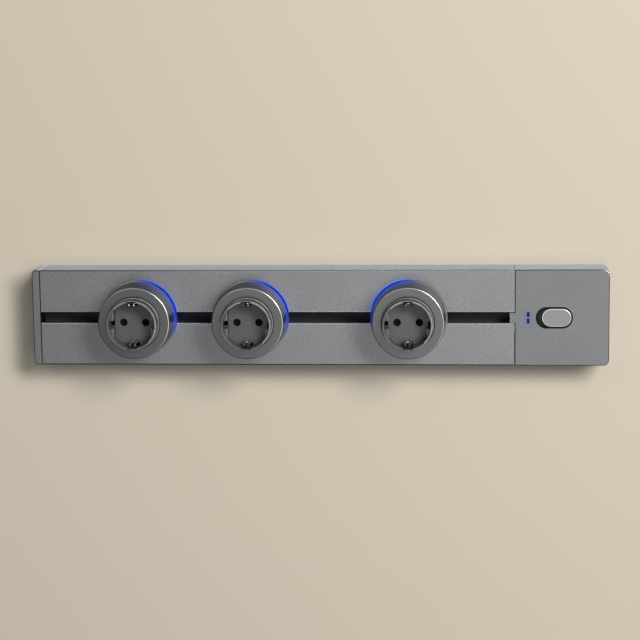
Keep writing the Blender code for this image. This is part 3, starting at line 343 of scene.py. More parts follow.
slot_half = 4.7 * mm
slot_chamfer = 0.6 * mm
edge_round = 1.0 * mm
corner_reach = 2.5 * mm
rail_break = 0.16 * mm
slot_shade_start = slot_chamfer + 0.05 * mm
slot_shade_fade = 0.15 * mm
rail_look = anodised("rail_anodised", (0.24, 0.24, 0.242), 0.46, 0.75, 0.24, (0.2, 0.2, 0.2), 0.16)
tree = rail_look.node_tree
spot = axes(tree)
level = math_node(tree, "ABSOLUTE", spot["Z"])
slot_shade_band = remap(tree, level, slot_half + 0.1 * mm, slot_half + 0.3 * mm, 1.0, 0.0)
behind = remap(tree, spot["Y"], slot_shade_start - rail_face, slot_shade_start + slot_shade_fade - rail_face, 0.0, 1.0)
# The rounds are painted with light and shade: brightest at the slot as a highlight, lighter above it than
# below, and lighter towards the right, as the light falls on them.
near_slot = remap(tree, level, 2 * slot_half, 3 * slot_half, 1.0, 0.0)
along = remap(tree, spot["X"], cad_low.x, 0.0, 0.0, 1.0)
upper = remap(tree, spot["Z"], -slot_half, slot_half, 0.0, 1.0)
upper_tone = blend_colour(tree, along, (0.1, 0.1, 0.1), (0.5, 0.5, 0.5))
lower_tone = blend_colour(tree, along, (0.003, 0.003, 0.003), (0.05, 0.05, 0.05))
painted_rim_tone = blend_colour(tree, upper, lower_tone, upper_tone)
painted_rim_tone = blend_colour(tree, near_slot, painted_rim_tone, (0.85, 0.85, 0.86))
set_inputs(tree, tree.nodes["edge_tone"], Worn_Colour=painted_rim_tone)
# Painted shade: the slot's inner walls are nearly black.
overcoat(rail_look, math_node(tree, "MULTIPLY", slot_shade_band, behind), (0.02, 0.02, 0.02))


def front_rounds(spot):
    """The slot's chamfers, which the glides rub, and the smooth rounds of the front's outer edges. Both
    take a painted highlight and shade.
    """
    behind = spot.y + rail_face
    at_slot = 0.05 * mm < behind < slot_chamfer and abs(spot.z) < slot_half + slot_chamfer
    at_end = spot.x < cad_low.x + corner_reach or spot.x > cad_high.x - corner_reach
    at_rim = at_end or abs(spot.z) > half_height - corner_reach
    return at_slot or (at_rim and 0.02 * mm < behind < edge_round)


def cap_joint(spot):
    """The edges of the cap and of the rail where the two meet, which stay blasted."""
    return abs(spot.x - rail_low.x) < mm and abs(spot.z) < half_height - edge_round


rail = finished("rail_extrusion", "rail", rail_break, rail_look, rubbed=front_rounds, spared=cap_joint)
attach(rail, "track")
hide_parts("rail_extrusion")

# Chamber liner: a black extrusion of glass-filled nylon that slides into the rail's chamber from one
# end. Its four bays hold the bars, two low ribs run along its floor, and its lower side is painted
# lighter, as fill light in the shade of the lower lip.

moulded, given, result = effect(
    "moulded_skin",
    ("Colour", "Roughness", "Height"),
    Colour=(0.02, 0.02, 0.02),
    Texture_Scale=1800.0,
    Gloss=0.5,
)
place = object_place(moulded)
spark = noise(moulded, place, given["Texture Scale"], 4.0, 0.7)
flow = noise(moulded, place, 70.0, 3.0, 0.6)
shade = vector_math(moulded, "SCALE", given["Colour"], remap(moulded, flow, 0.3, 0.7, 0.93, 1.08))
gloss = math_node(moulded, "ADD", given["Gloss"], remap(moulded, spark, 0.3, 0.7, -0.05, 0.05))
set_inputs(moulded, result, Colour=shade, Roughness=gloss, Height=spark)


def plastic(name, colour, gloss, texture=1800.0, depth=0.03, edge_colour=None, edge_amount=0.35, specular=0.5):
    """Moulded plastic with a spark-eroded texture and slightly polished edges. Where the edge amount is
    full, the marked edges are painted light, as highlights.
    """
    look, tree, shader = new_look(name, 0.0, specular)
    skin = use(tree, moulded, Colour=colour, Gloss=gloss, Texture_Scale=texture)
    lighter = edge_colour or tuple(min(1.0, c * 1.8 + 0.01) for c in colour)
    lay_edge_tone(tree, shader, skin, lighter, gloss * 0.75, Amount=edge_amount)
    bump(tree, shader, skin.outputs["Height"], 0.3, depth * mm)
    return look


liner_look = plastic("liner_nylon", (0.004, 0.005, 0.006), 0.5, specular=0.2)
tree = liner_look.node_tree
# Painted fill light: the liner turns lighter towards its bottom, against the shade of the lower lip.
painted_fill = remap(tree, axes(tree)["Z"], slot_half, -1.5 * slot_half, 0.0, 1.0)
overcoat(liner_look, painted_fill, (0.032, 0.034, 0.036))
liner = finished("chamber_liner", "liner", 0.12 * mm, liner_look)
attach(liner, "track")
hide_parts("chamber_liner")

# Conductors: three flat bars of drawn copper that lie in the liner's bays and run into the terminal
# block. Drawing leaves fine lines along them, and the air has browned them in patches.

drawn, given, result = effect(
    "drawn_metal",
    ("Colour", "Roughness", "Height"),
    Colour=(0.7, 0.4, 0.25),
    Tarnish=(0.3, 0.15, 0.08),
    Gloss=0.3,
)
place = object_place(drawn)
along = add(drawn, "ShaderNodeMapping", Vector=place, Scale=(0.02, 1.0, 1.0))
lines = noise(drawn, along.outputs[0], 5200.0)
aged = remap(drawn, noise(drawn, place, 160.0, 4.0, 0.6), 0.45, 0.7, 0.0, 0.7)
shade = blend_colour(drawn, aged, given["Colour"], given["Tarnish"])
gloss = math_node(drawn, "ADD", given["Gloss"], remap(drawn, lines, 0.3, 0.7, -0.06, 0.08))
set_inputs(drawn, result, Colour=shade, Roughness=gloss, Height=lines)


def strip_metal(name, colour, tarnish, gloss):
    """Drawn or stamped strip: copper, bronze or plated steel."""
    look, tree, shader = new_look(name, 1.0)
    skin = use(tree, drawn, Colour=colour, Tarnish=tarnish, Gloss=gloss)
    set_inputs(tree, shader, Base_Color=skin.outputs["Colour"], Roughness=skin.outputs["Roughness"])
    bump(tree, shader, skin.outputs["Height"], 0.15, 0.02 * mm)
    return look


copper = strip_metal("drawn_copper", (0.78, 0.42, 0.27), (0.42, 0.19, 0.10), 0.28)
for name in ("live", "neutral", "earth"):
    bar = finished("conductor_" + name, "bar_" + name, 0.2 * mm, copper)
    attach(bar, "track")
    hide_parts("conductor_" + name)

# End cap: a narrow die-cast cap, blasted and coated to match the rail, with two barbed tabs that snap
# into the side cells of the extrusion. Its rounds are painted nearly black, as the shade along its edges,
# and its inner face, which closes the slot, is painted black as the shade at the slot's end.

case_break = 0.14 * mm
cap_inside = rail_low.x - 0.45 * mm
# The cap's rounds are painted nearly black, as the shade along its edges.
cap_finish = anodised("cap_finish", (0.22, 0.223, 0.23), 0.42, 0.8, 0.17, (0.04, 0.04, 0.04), 0.16)
tree = cap_finish.node_tree
# Painted shade: black on the inner face and the tabs, past the cap's inside.
painted_slot_end_shade = remap(tree, axes(tree)["X"], cap_inside - 0.05 * mm, cap_inside + 0.05 * mm, 0.0, 1.0)
overcoat(cap_finish, painted_slot_end_shade, (0.01, 0.01, 0.011))
end_cap = finished("end_cap", "left_cap", case_break, cap_finish, rubbed=front_rounds, spared=cap_joint)
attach(end_cap, "track")
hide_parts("end_cap")

# Wall clips: bent spring steel, zinc plated, screwed to the wall through two holes. The rail snaps over
# their arms.

zinc = strip_metal("zinc_plate", (0.62, 0.63, 0.66), (0.46, 0.47, 0.50), 0.36)
for name in ("left", "centre"):
    clip = finished("wall_clip_" + name, "clip_" + name, 0.15 * mm, zinc)
    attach(clip, "track")
    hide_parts("wall_clip_" + name)

# Switch unit: a die-cast case with a tongue that closes the end of the slot, coated like the end cap,
# with a moulded back plate behind it. Its rounds are painted white at the upper right corner, as a glint.

recess_centre_x = cad_high.x - 47.0 * mm
recess_length = 30.6 * mm
recess_height = 17.6 * mm
painted_glint_starts = (9.0 * mm, 7.0 * mm)
painted_glint_full = (5.0 * mm, 4.0 * mm)


def recess_edge(spot):
    return abs(spot.x - recess_centre_x) < recess_length / 2 + mm and abs(spot.z) < recess_height / 2 + mm


case_edge = (0.16, 0.16, 0.165)
case_finish = anodised("case_finish", (0.175, 0.177, 0.181), 0.42, 0.8, 0.17, case_edge, 0.16)
tree = case_finish.node_tree
spot = axes(tree)
# Painted glint: the rounds turn white towards the upper right corner.
at_right = remap(tree, spot["X"], cad_high.x - painted_glint_starts[0], cad_high.x - painted_glint_full[0], 0.0, 1.0)
at_top = remap(tree, spot["Z"], half_height - painted_glint_starts[1], half_height - painted_glint_full[1], 0.0, 1.0)
corner = math_node(tree, "MULTIPLY", at_right, at_top)
painted_rim_tone = blend_colour(tree, corner, case_edge, (1.0, 1.0, 1.0))
set_inputs(tree, tree.nodes["edge_tone"], Worn_Colour=painted_rim_tone)
housing = finished(
    "switch_housing", "switch_case", case_break, case_finish, rubbed=front_rounds, spared=recess_edge
)
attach(housing, "track")
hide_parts("switch_housing")

black_nylon = plastic("black_nylon", (0.007, 0.007, 0.008), 0.45, specular=0.3)
back_plate = finished("switch_back_plate", "rear_plate", 0.2 * mm, black_nylon)
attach(back_plate, "track")
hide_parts("switch_back_plate")

# Inside the switch unit: the circuit board on its standoffs, the terminal block that takes the bars,
# and the slide switch with its carriage. All are plain moulded or laminated parts.

board_look = plastic("solder_mask", (0.015, 0.09, 0.045), 0.32, texture=900.0, depth=0.015)
grey_nylon = plastic("grey_nylon", (0.05, 0.05, 0.055), 0.5)
inner_parts = (
    ("control_board", "board", board_look, "track", "board_green"),
    ("terminal_block", "feed_block", black_nylon, "track", "black_plastic"),
    ("switch_body", "slide_switch", black_nylon, "track", "black_plastic"),
    ("switch_carriage", "carriage", grey_nylon, "main_switch", "guide_plastic"),
)
for node, name, look, body, slot in inner_parts:
    inner = finished(node, name, 0.15 * mm, look)
    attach(inner, body)
    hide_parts(node)

# Indicator: a clear light guide behind the case front with two upright windows that show blue. The case
# is painted blue round them, as their glow, and painted black along the recess's edge, as shade.

blue = (0.004, 0.1, 1.0)
guide_low, guide_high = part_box("indicator_guide")
window_spacing = 5.7 * mm
painted_glow_core = 0.5 * mm
painted_glow_reach = 5.5 * mm
recess_shade_edge = recess_height / 2 + 0.55 * mm
recess_shade_fade = 0.2 * mm


def line_distance(tree, centre_x, span, upright=False):
    """The distance from a short line on the track's face, which is level or upright."""
    place = axes(tree)
    across = math_node(tree, "SUBTRACT", place["X"], centre_x)
    along, beside = (place["Z"], across) if upright else (across, place["Z"])
    past = math_node(tree, "SUBTRACT", math_node(tree, "ABSOLUTE", along), span / 2)
    past = math_node(tree, "MAXIMUM", past, 0.0)
    squares = (math_node(tree, "MULTIPLY", part, part) for part in (past, beside))
    return math_node(tree, "SQRT", math_node(tree, "ADD", *squares))


tree = case_finish.node_tree
from_windows = line_distance(tree, (guide_low.x + guide_high.x) / 2, window_spacing, upright=True)
# Painted glow: the case turns blue round the windows.
painted_glow = remap(tree, from_windows, painted_glow_core, painted_glow_reach, 0.55, 0.0, smooth=True)
overcoat(case_finish, painted_glow, (0.085, 0.13, 0.32))
# Painted shade: the case turns black along the recess's edge and inside it.
from_recess = line_distance(tree, recess_centre_x, recess_length - recess_height)
painted_recess_shade = remap(tree, from_recess, recess_shade_edge, recess_shade_edge + recess_shade_fade, 1.0, 0.0)
overcoat(case_finish, painted_recess_shade, (0.012, 0.012, 0.012))
window_look, tree, shader = new_look("window_blue", 0.0, 0.1)
set_inputs(tree, shader, Base_Color=(0.002, 0.004, 0.03), Roughness=0.4)
set_inputs(tree, shader, Emission_Color=blue, Emission_Strength=0.06)
windows = finished("indicator_guide", "light_guide", 0.1 * mm, window_look)
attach(windows, "track")
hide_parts("indicator_guide")

# Knob tray: the black capsule-shaped tray behind the case front that the knob runs in. Its foot is
# painted darkest, as shade where no light gets in under the case.

shade_starts = recess_height / 2 - 1.9 * mm
shade_full = recess_height / 2 - 1.1 * mm
tray_look = plastic("tray_black", (0.019, 0.02, 0.02), 0.5, specular=0.1)
tree = tray_look.node_tree
from_middle = line_distance(tree, recess_centre_x, recess_length - recess_height)
# Painted shade: the tray's foot turns nearly black.
shaded = remap(tree, from_middle, shade_starts, shade_full, 0.0, 1.0, smooth=True)
overcoat(tray_look, shaded, (0.003, 0.003, 0.003))
tray = finished("switch_bezel", "knob_tray", 0.15 * mm, tray_look)
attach(tray, "track")
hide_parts("switch_bezel")

# Slide knob: a light satin capsule of turned and blasted aluminium with a cut rim, painted white as a
# highlight, on a moulded stem. It rides with the carriage.

knob_look = anodised("knob_satin", (0.205, 0.205, 0.21), 0.36, 0.6, 0.1, (1.0, 1.0, 1.0), 0.24, even=0.9)
knob_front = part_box("switch_knob")[0].y


def knob_rim_sheen(spot):
    """The cut rim between the knob's face and its side, painted white as a highlight."""
    return 0.02 * mm < spot.y - knob_front < 0.6 * mm


knob = finished("switch_knob", "slide_knob", 0.1 * mm, knob_look, rubbed=knob_rim_sheen)
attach(knob, "main_switch")
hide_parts("switch_knob")

# Glides: under each of the three sockets, a black acetal disc with the key that runs in the slot. The
# light ring sits round it, and the socket stands and turns on it.

socket_centres = {}
for tag in ("_1", "_2", "_3"):
    shell_low, shell_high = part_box("cap_shell" + tag)
    socket_centres[tag] = (shell_low.x + shell_high.x) / 2
    glide = finished("glide" + tag, "glide_disc" + tag, 0.15 * mm, black_nylon)
    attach(glide, "glide_body" + tag)
    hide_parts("glide" + tag)

# Light rings: a turned ring of milky acrylic round each glide, with small rounds at its outer edges. Its
# lamp sits at one side and lights that side deep blue. The ring's own colour is painted deep blue on that
# side and grey on the far side, as its lit and unlit looks.

ring_width = 7.0 * mm
ring_round = 0.4 * mm
ring_power = 3.6
ring_seen = 0.26
lamp_degrees = (32, 32, 135)
turning_radius = 100 * mm


def piece_tree(name, **inputs):
    """An empty geometry tree with its titled inputs, their identifiers and its two end nodes."""
    tree = bpy.data.node_groups.new(name, "GeometryNodeTree")
    sockets = {}
    for title, kind in inputs.items():
        socket = tree.interface.new_socket(
            title.replace("_", " "), in_out="INPUT", socket_type="NodeSocket" + kind
        )
        sockets[title] = socket.identifier
    tree.interface.new_socket("Geometry", in_out="OUTPUT", socket_type="NodeSocketGeometry")
    return tree, sockets, tree.nodes.new("NodeGroupInput").outputs, tree.nodes.new("NodeGroupOutput")


def apply_tree(obj, tree, sockets, **values):
    """Adds the tree to a piece with its own values, set by the inputs' identifiers."""
    step = obj.modifiers.new(tree.name, "NODES")
    step.node_group = tree
    for title, value in values.items():
        step[sockets[title]] = value


# The turned pieces of a socket: a profile of radius and height is swept round the socket's axis. The
# same tree makes the light ring, the cap shell and the insert.
turned, turned_sockets, given, result = piece_tree(
    "turned_piece",
    Geometry="Geometry",
    Turning_Radius="Float",
    Steps="Int",
    Axis_Place="Vector",
    Material="Material",
)
circle = add(turned, "GeometryNodeCurvePrimitiveCircle", Radius=given["Turning Radius"])
set_inputs(turned, circle, Resolution=given["Steps"])
sweep = add(turned, "GeometryNodeCurveToMesh", Curve=circle.outputs["Curve"])
set_inputs(turned, sweep, Profile_Curve=given["Geometry"])
merge = add(turned, "GeometryNodeMergeByDistance", Geometry=sweep.outputs["Mesh"], Distance=0.001 * mm)
stand = add(turned, "GeometryNodeTransform", Geometry=merge.outputs["Geometry"])
set_inputs(turned, stand, Rotation=(-math.pi / 2, 0.0, 0.0), Translation=given["Axis Place"])
whole = add(turned, "GeometryNodeRealizeInstances", Geometry=stand.outputs["Geometry"])
paint = add(turned, "GeometryNodeSetMaterial", Geometry=whole.outputs["Geometry"])
set_inputs(turned, paint, Material=given["Material"])
set_inputs(turned, result, Geometry=paint.outputs["Geometry"])


def fillet(centre_r, centre_h, radius, start, end, steps=6):
    """Points on a round of a profile, angles in degrees from outwards to up."""
    points = []
    for i in range(steps + 1):
        turn = math.radians(start + (end - start) * i / steps)
        points.append((centre_r + radius * math.cos(turn), centre_h + radius * math.sin(turn)))
    return points


def turn_piece(name, profile, centre_x, look, steps=144):
    """Sweeps a closed profile of (radius, height) round a socket's axis."""
    curve = bpy.data.curves.new(name, "CURVE")
    curve.dimensions = "2D"
    spline = curve.splines.new("POLY")
    spline.points.add(len(profile) - 1)
    spline.use_cyclic_u = True
    for point, (radius, height) in zip(spline.points, profile):
        point.co = (radius - turning_radius, height, 0.0, 1.0)
    obj = link(name, curve)
    apply_tree(
        obj,
        turned,
        turned_sockets,
        Turning_Radius=turning_radius,
        Steps=steps,
        Axis_Place=(centre_x, -rail_face, 0.0),
        Material=look,
    )
    made = baked(obj)
    bm = bmesh.new()
    bm.from_mesh(made.data)
    bmesh.ops.recalc_face_normals(bm, faces=bm.faces)
    bm.to_mesh(made.data)
    bm.free()
    return made


def ring_look(name, centre_x, reach, degrees):
    """The milky diffuser, painted deep blue beside its lamp and grey away from it, and glowing beside the
    lamp. A camera sees its colour and not its full strength.
    """
    look, tree, shader = new_look(name, 0.0, 0.1)
    turn = math.radians(degrees)
    centred = add(tree, "ShaderNodeMapping", Vector=object_place(tree), Location=(-centre_x, 0.0, 0.0))
    to_lamp = (math.cos(turn) / reach, 0.0, math.sin(turn) / reach)
    aim = vector_math(tree, "DOT_PRODUCT", centred.outputs[0], to_lamp)
    share = remap(tree, aim, 0.35, 0.95, 0.0, 1.0, smooth=True)
    # Painted light: the body is deep blue on the lamp's side and grey on the far side.
    body = blend_colour(tree, share, (0.2, 0.2, 0.205), (0.004, 0.01, 0.04))
    seen = tree.nodes.new("ShaderNodeLightPath").outputs["Is Camera Ray"]
    strength = math_node(tree, "MULTIPLY", seen, ring_seen / ring_power - 1.0)
    strength = math_node(tree, "ADD", strength, 1.0)
    strength = math_node(tree, "MULTIPLY", strength, share)
    set_inputs(tree, shader, Base_Color=body, Roughness=0.6, Emission_Strength=ring_power)
    set_inputs(tree, shader, Emission_Color=vector_math(tree, "SCALE", blue, strength))
    return look


for (tag, centre_x), degrees in zip(socket_centres.items(), lamp_degrees):
    ring_low, ring_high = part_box("light_ring" + tag)
    ring_reach = (ring_high.x - ring_low.x) / 2
    ring_bottom = -ring_high.y - rail_face
    ring_top = -ring_low.y - rail_face
    ring_profile = [
        (ring_reach - ring_width, ring_bottom),
        *fillet(ring_reach - ring_round, ring_bottom + ring_round, ring_round, -90, 0, 4),
        *fillet(ring_reach - ring_round, ring_top - ring_round, ring_round, 0, 90, 4),
        (ring_reach - ring_width, ring_top),
    ]
    look = ring_look("ring_blue" + tag, centre_x, ring_reach, degrees)
    ring = settle(turn_piece("halo_ring" + tag, ring_profile, centre_x, look), look)
    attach(ring, "glide_body" + tag)
    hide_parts("light_ring" + tag)

# Works under the insert: the moulded base plate with its contact towers and the foot that turns in the
# slot, both of black nylon, the stamped copper blades and pin contacts, and the foot's plated screw.

works = (
    ("base_plate", "base", black_nylon, "black_plastic"),
    ("track_foot", "foot", black_nylon, "black_plastic"),
    ("blade_live", "live_blade", copper, "copper"),
    ("blade_neutral", "neutral_blade", copper, "copper"),
    ("blade_earth", "earth_blade", copper, "copper"),
    ("contact_live", "live_contact", copper, "copper"),
    ("contact_neutral", "neutral_contact", copper, "copper"),
    ("foot_screw", "screw", zinc, "zinc_steel"),
)
for tag in socket_centres:
    for node, name, look, slot in works:
        part = finished(node + tag, name + tag, 0.1 * mm, look)
        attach(part, "socket_body" + tag)
        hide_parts(node + tag)

# Shutters: a moulded plate behind each well's floor, on a boss, whose two lobes close both pin holes
# and turn aside for a plug. It is matt black, so that a closed hole looks empty.

shutter_look = plastic("shutter_black", (0.004, 0.004, 0.004), 0.8, specular=0.08)
for tag in socket_centres:
    shutter = finished("shutter" + tag, "pin_shutter" + tag, 0.15 * mm, shutter_look)
    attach(shutter, "shutter_body" + tag)
    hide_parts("shutter" + tag)

# Cap shells: turned from aluminium bar, blasted and anodised with the rail. A small round joins the
# tapering wall and the flat face, painted bright at its upper right as a highlight and plain at its lower
# left, and the bore takes the collar.

shell_low, shell_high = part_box("cap_shell_1")
shell_flare = 1.2 * mm
shell_radius = (shell_high.x - shell_low.x) / 2 - shell_flare
shell_bottom = -shell_high.y - rail_face
shell_top = -shell_low.y - rail_face
shell_wall = 1.8 * mm
shell_face = 1.8 * mm
shell_fillet = 0.8 * mm
foot_round = 0.2 * mm
bore_round = 0.3 * mm
well_radius = 19.6 * mm
collar_wall = 1.7 * mm
collar_bead = 0.8 * mm
collar_play = 0.6 * mm
collar_radius = well_radius + collar_wall
bore = collar_radius + collar_bead + collar_play
inside = shell_radius - shell_wall
shell_grey = (0.117, 0.117, 0.117)
shell_look = anodised("shell_anodised", shell_grey, 0.4, 0.85, 0.12, (0.6, 0.6, 0.6), 0.28, even=1.0)
shell_profile = [
    *fillet(shell_radius + shell_flare - foot_round, shell_bottom + foot_round, foot_round, -90, 0, 3),
    *fillet(shell_radius - shell_fillet, shell_top - shell_fillet, shell_fillet, 0, 90, 10),
    *fillet(bore + bore_round, shell_top - bore_round, bore_round, 90, 180, 4),
    (bore, shell_top - shell_face),
    (inside - shell_face / 2, shell_top - shell_face),
    (inside, shell_top - shell_face * 1.5),
    (inside, shell_bottom),
]


def fillet_sheen(spot):
    """The shell's fillet, painted bright as a highlight at its upper right, fading to none at its lower
    left.
    """
    lit_share = 0.6 + (spot.x + spot.z) / (1.414 * shell_radius)
    high = -spot.y > rail_face + shell_top - shell_fillet
    on_fillet = high and math.hypot(spot.x, spot.z) > shell_radius - shell_fillet
    return min(1.0, max(0.0, lit_share)) if on_fillet else 0.0


for tag, centre_x in socket_centres.items():
    shell = turn_piece("shell" + tag, shell_profile, centre_x, shell_look)
    shell = settle(shell, shell_look, rubbed=fillet_sheen, axis_x=centre_x)
    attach(shell, "socket_body" + tag)
    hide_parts("cap_shell" + tag)

# Inserts: one moulding of grey plastic with the ribbed collar, the well, four guide lugs with a deep
# notch between each pair, two flared pin holes and the pockets of the earth clips.

bead_rise = 0.5 * mm
well_depth = 17.5 * mm
well_round = 0.6 * mm
well_steps = 120
lip_round = 0.6 * mm
floor_thickness = 2.0 * mm
flange_gap = 0.3 * mm
flange_thickness = 2.0 * mm
flange_play = 1.4 * mm
pin_spacing = 19.0 * mm
pin_hole = 3.15 * mm
pin_flare = 0.3 * mm
lug_chord = 16.3 * mm
lug_notch = 6.5 * mm
lug_drop = 4.5 * mm
lug_round = 0.5 * mm
lug_steps = 8
notch_width = 5.2 * mm
notch_inside = 16.9 * mm
notch_outside = 20.5 * mm
notch_drop = 6.0 * mm
notch_sink = 2.5 * mm
pocket_width = 8.2 * mm
pocket_inside = 15.9 * mm
pocket_outside = 20.6 * mm
overcut = 0.5 * mm
# The insert's marked edges are painted light, as highlights.
socket_look = plastic(
    "socket_grey",
    (0.075, 0.076, 0.078),
    0.42,
    texture=1500.0,
    depth=0.02,
    edge_colour=(0.3, 0.3, 0.3),
    edge_amount=1.0,
)
lip = -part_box("insert_1")[0].y - rail_face
well_floor = lip - well_depth
floor_back = well_floor - floor_thickness
flange_top = shell_top - shell_face - flange_gap
flange_bottom = flange_top - flange_thickness
insert_profile = [
    (0.0, floor_back),
    (collar_radius, floor_back),
    (collar_radius, flange_bottom),
    (inside - flange_play, flange_bottom),
    (inside - flange_play, flange_top),
    (collar_radius + collar_bead, flange_top),
    *fillet(collar_radius, shell_top + bead_rise - collar_bead, collar_bead, 0, 90, 4),
    *fillet(collar_radius - lip_round, lip - lip_round, lip_round, 0, 90, 5),
    *fillet(well_radius + lip_round, lip - lip_round, lip_round, 90, 180, 5),
    *fillet(well_radius - well_round, well_floor + well_round, well_round, 0, -90, 4),
    (0.0, well_floor),
]
hole_profile = [
    (0.0, floor_back - overcut),
    (pin_hole, floor_back - overcut),
    (pin_hole, well_floor - pin_flare),
    (pin_hole + 0.35 * pin_flare, well_floor - 0.5 * pin_flare),
    (pin_hole + pin_flare, well_floor - 0.1 * pin_flare),
    (pin_hole + pin_flare, well_floor + overcut),
    (0.0, well_floor + overcut),
]
lug_root = well_radius + collar_wall / 2
lug_start = math.asin(lug_notch / 2 / lug_root)
lug_end = math.acos(lug_chord / lug_root)
lug_outline = [(lug_chord, lug_notch / 2)]
for i in range(lug_steps + 1):
    turn = lug_start + (lug_end - lug_start) * i / lug_steps
    lug_outline.append((lug_root * math.cos(turn), lug_root * math.sin(turn)))


def mesh_piece(name, bm):
    mesh = bpy.data.meshes.new(name)
    bm.to_mesh(mesh)
    bm.free()
    return link(name, mesh)


def rectangle(low_x, high_x, low_z, high_z):
    return [(low_x, low_z), (high_x, low_z), (high_x, high_z), (low_x, high_z)]


def solid(name, outline, low, high, centre_x):
    """A prism on the socket's axis: an outline of (x, z) about it, between two heights."""
    bm = bmesh.new()
    rows = [[bm.verts.new((centre_x + x, -rail_face - h, z)) for x, z in outline] for h in (low, high)]
    bm.faces.new(rows[0])
    bm.faces.new(rows[1][::-1])
    count = len(outline)
    for i in range(count):
        j = (i + 1) % count
        bm.faces.new((rows[0][i], rows[1][i], rows[1][j], rows[0][j]))
    bmesh.ops.recalc_face_normals(bm, faces=bm.faces)
    return mesh_piece(name, bm)


def combine(obj, tools, operation):
    """Adds or cuts the tools, which are used up."""
    for tool in tools:
        step = obj.modifiers.new(tool.name, "BOOLEAN")
        step.operation = operation
        step.solver = "EXACT"
        step.object = tool
    obj = baked(obj)
    for tool in tools:
        bpy.data.objects.remove(tool, do_unlink=True)
    return obj


# Collar grip: fine moulded ribs round the collar's outside for the fingers. Each is an instance of a
# flattened rod that is half sunk in the collar.
rib_pitch = 1.1 * mm
rib_depth = 0.22 * mm
rib_width = 0.62 * mm
rib_low = shell_top + bead_rise + 0.1 * mm
rib_high = lip - lip_round - 0.3 * mm
ribbing, rib_sockets, given, result = piece_tree(
    "collar_ribs",
    Geometry="Geometry",
    Count="Int",
    Collar_Radius="Float",
    Rib_Radius="Float",
    Rib_Flatness="Float",
    Rib_Length="Float",
    Middle="Vector",
    Material="Material",
)
circle = add(ribbing, "GeometryNodeCurvePrimitiveCircle", Radius=given["Collar Radius"])
set_inputs(ribbing, circle, Resolution=given["Count"])
spots = add(ribbing, "GeometryNodeCurveToPoints", Curve=circle.outputs["Curve"])
spots.mode = "EVALUATED"
rod = add(ribbing, "GeometryNodeMeshCylinder", Vertices=8, Radius=given["Rib Radius"])
set_inputs(ribbing, rod, Depth=given["Rib Length"])
flat = add(ribbing, "ShaderNodeCombineXYZ", X=given["Rib Flatness"], Y=1.0, Z=1.0)
thin = add(ribbing, "GeometryNodeTransform", Geometry=rod.outputs["Mesh"], Scale=flat.outputs[0])
radial = ribbing.nodes.new("GeometryNodeInputPosition").outputs[0]
facing = add(ribbing, "FunctionNodeAlignRotationToVector", Vector=radial)
facing.axis = "X"
copies = add(ribbing, "GeometryNodeInstanceOnPoints", Points=spots.outputs["Points"])
set_inputs(ribbing, copies, Instance=thin.outputs["Geometry"], Rotation=facing.outputs[0])
whole = add(ribbing, "GeometryNodeRealizeInstances", Geometry=copies.outputs["Instances"])
stand = add(ribbing, "GeometryNodeTransform", Geometry=whole.outputs["Geometry"])
set_inputs(ribbing, stand, Rotation=(-math.pi / 2, 0.0, 0.0), Translation=given["Middle"])
both = add(ribbing, "GeometryNodeJoinGeometry", Geometry=stand.outputs["Geometry"])
set_inputs(ribbing, both, Geometry=given["Geometry"])
paint = add(ribbing, "GeometryNodeSetMaterial", Geometry=both.outputs["Geometry"])
set_inputs(ribbing, paint, Material=given["Material"])
set_inputs(ribbing, result, Geometry=paint.outputs["Geometry"])


def plug_rubbed(spot):
    """The rounded lip, the bead at the collar's root and the lugs' inner edges, which are painted light as
    highlights. The lip's highlight is left off on the well's side at the lower left, which lies in shade."""
    depth = rail_face + lip + spot.y
    out = math.hypot(spot.x, spot.z)
    shaded_side = out < collar_radius - collar_wall / 2 and spot.x + spot.z < 0.0
    on_lug = abs(depth - lug_drop) < lug_round and abs(abs(spot.x) - lug_chord) < lug_round
    on_bead = abs(rail_face + shell_top + spot.y) < bead_rise and out > collar_radius
    return (depth < lip_round and not shaded_side) or on_lug or on_bead


for tag, centre_x in socket_centres.items():
    insert = turn_piece("socket_insert" + tag, insert_profile, centre_x, socket_look, well_steps)
    lugs = []
    for mirror_x, mirror_z in ((1, 1), (1, -1), (-1, 1), (-1, -1)):
        outline = [(mirror_x * x, mirror_z * z) for x, z in lug_outline]
        lug = solid("lug", outline, well_floor - floor_thickness / 2, lip - lug_drop, centre_x)
        soften(lug, lug_round, 3)
        lugs.append(baked(lug))
    insert = combine(insert, lugs, "UNION")
    cutters = []
    for mirror in (1, -1):
        middle = centre_x + mirror * pin_spacing / 2
        cutters.append(turn_piece("pin_hole", hole_profile, middle, socket_look, 48))
        half = pocket_width / 2
        pocket = rectangle(-half, half, mirror * pocket_inside, mirror * pocket_outside)
        cutters.append(solid("pocket", pocket, floor_back - overcut, lip + overcut, centre_x))
        half = notch_width / 2
        notch = rectangle(mirror * notch_inside, mirror * notch_outside, -half, half)
        cutters.append(solid("notch", notch, well_floor - notch_sink, lip - notch_drop, centre_x))
    insert = combine(insert, cutters, "DIFFERENCE")
    apply_tree(
        insert,
        ribbing,
        rib_sockets,
        Count=round(2 * math.pi * collar_radius / rib_pitch),
        Collar_Radius=collar_radius,
        Rib_Radius=rib_width / 2,
        Rib_Flatness=2 * rib_depth / rib_width,
        Rib_Length=rib_high - rib_low,
        Middle=(centre_x, -rail_face - (rib_low + rib_high) / 2, 0.0),
        Material=socket_look,
    )
    insert = settle(insert, socket_look, 30, rubbed=plug_rubbed, axis_x=centre_x)
    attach(insert, "socket_body" + tag)
    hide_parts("insert" + tag)

# Earth straps: one stamping of spring bronze under each well, whose ends rise through the floor as two
# domed and split prongs on each side. They press on a plug's side contacts.

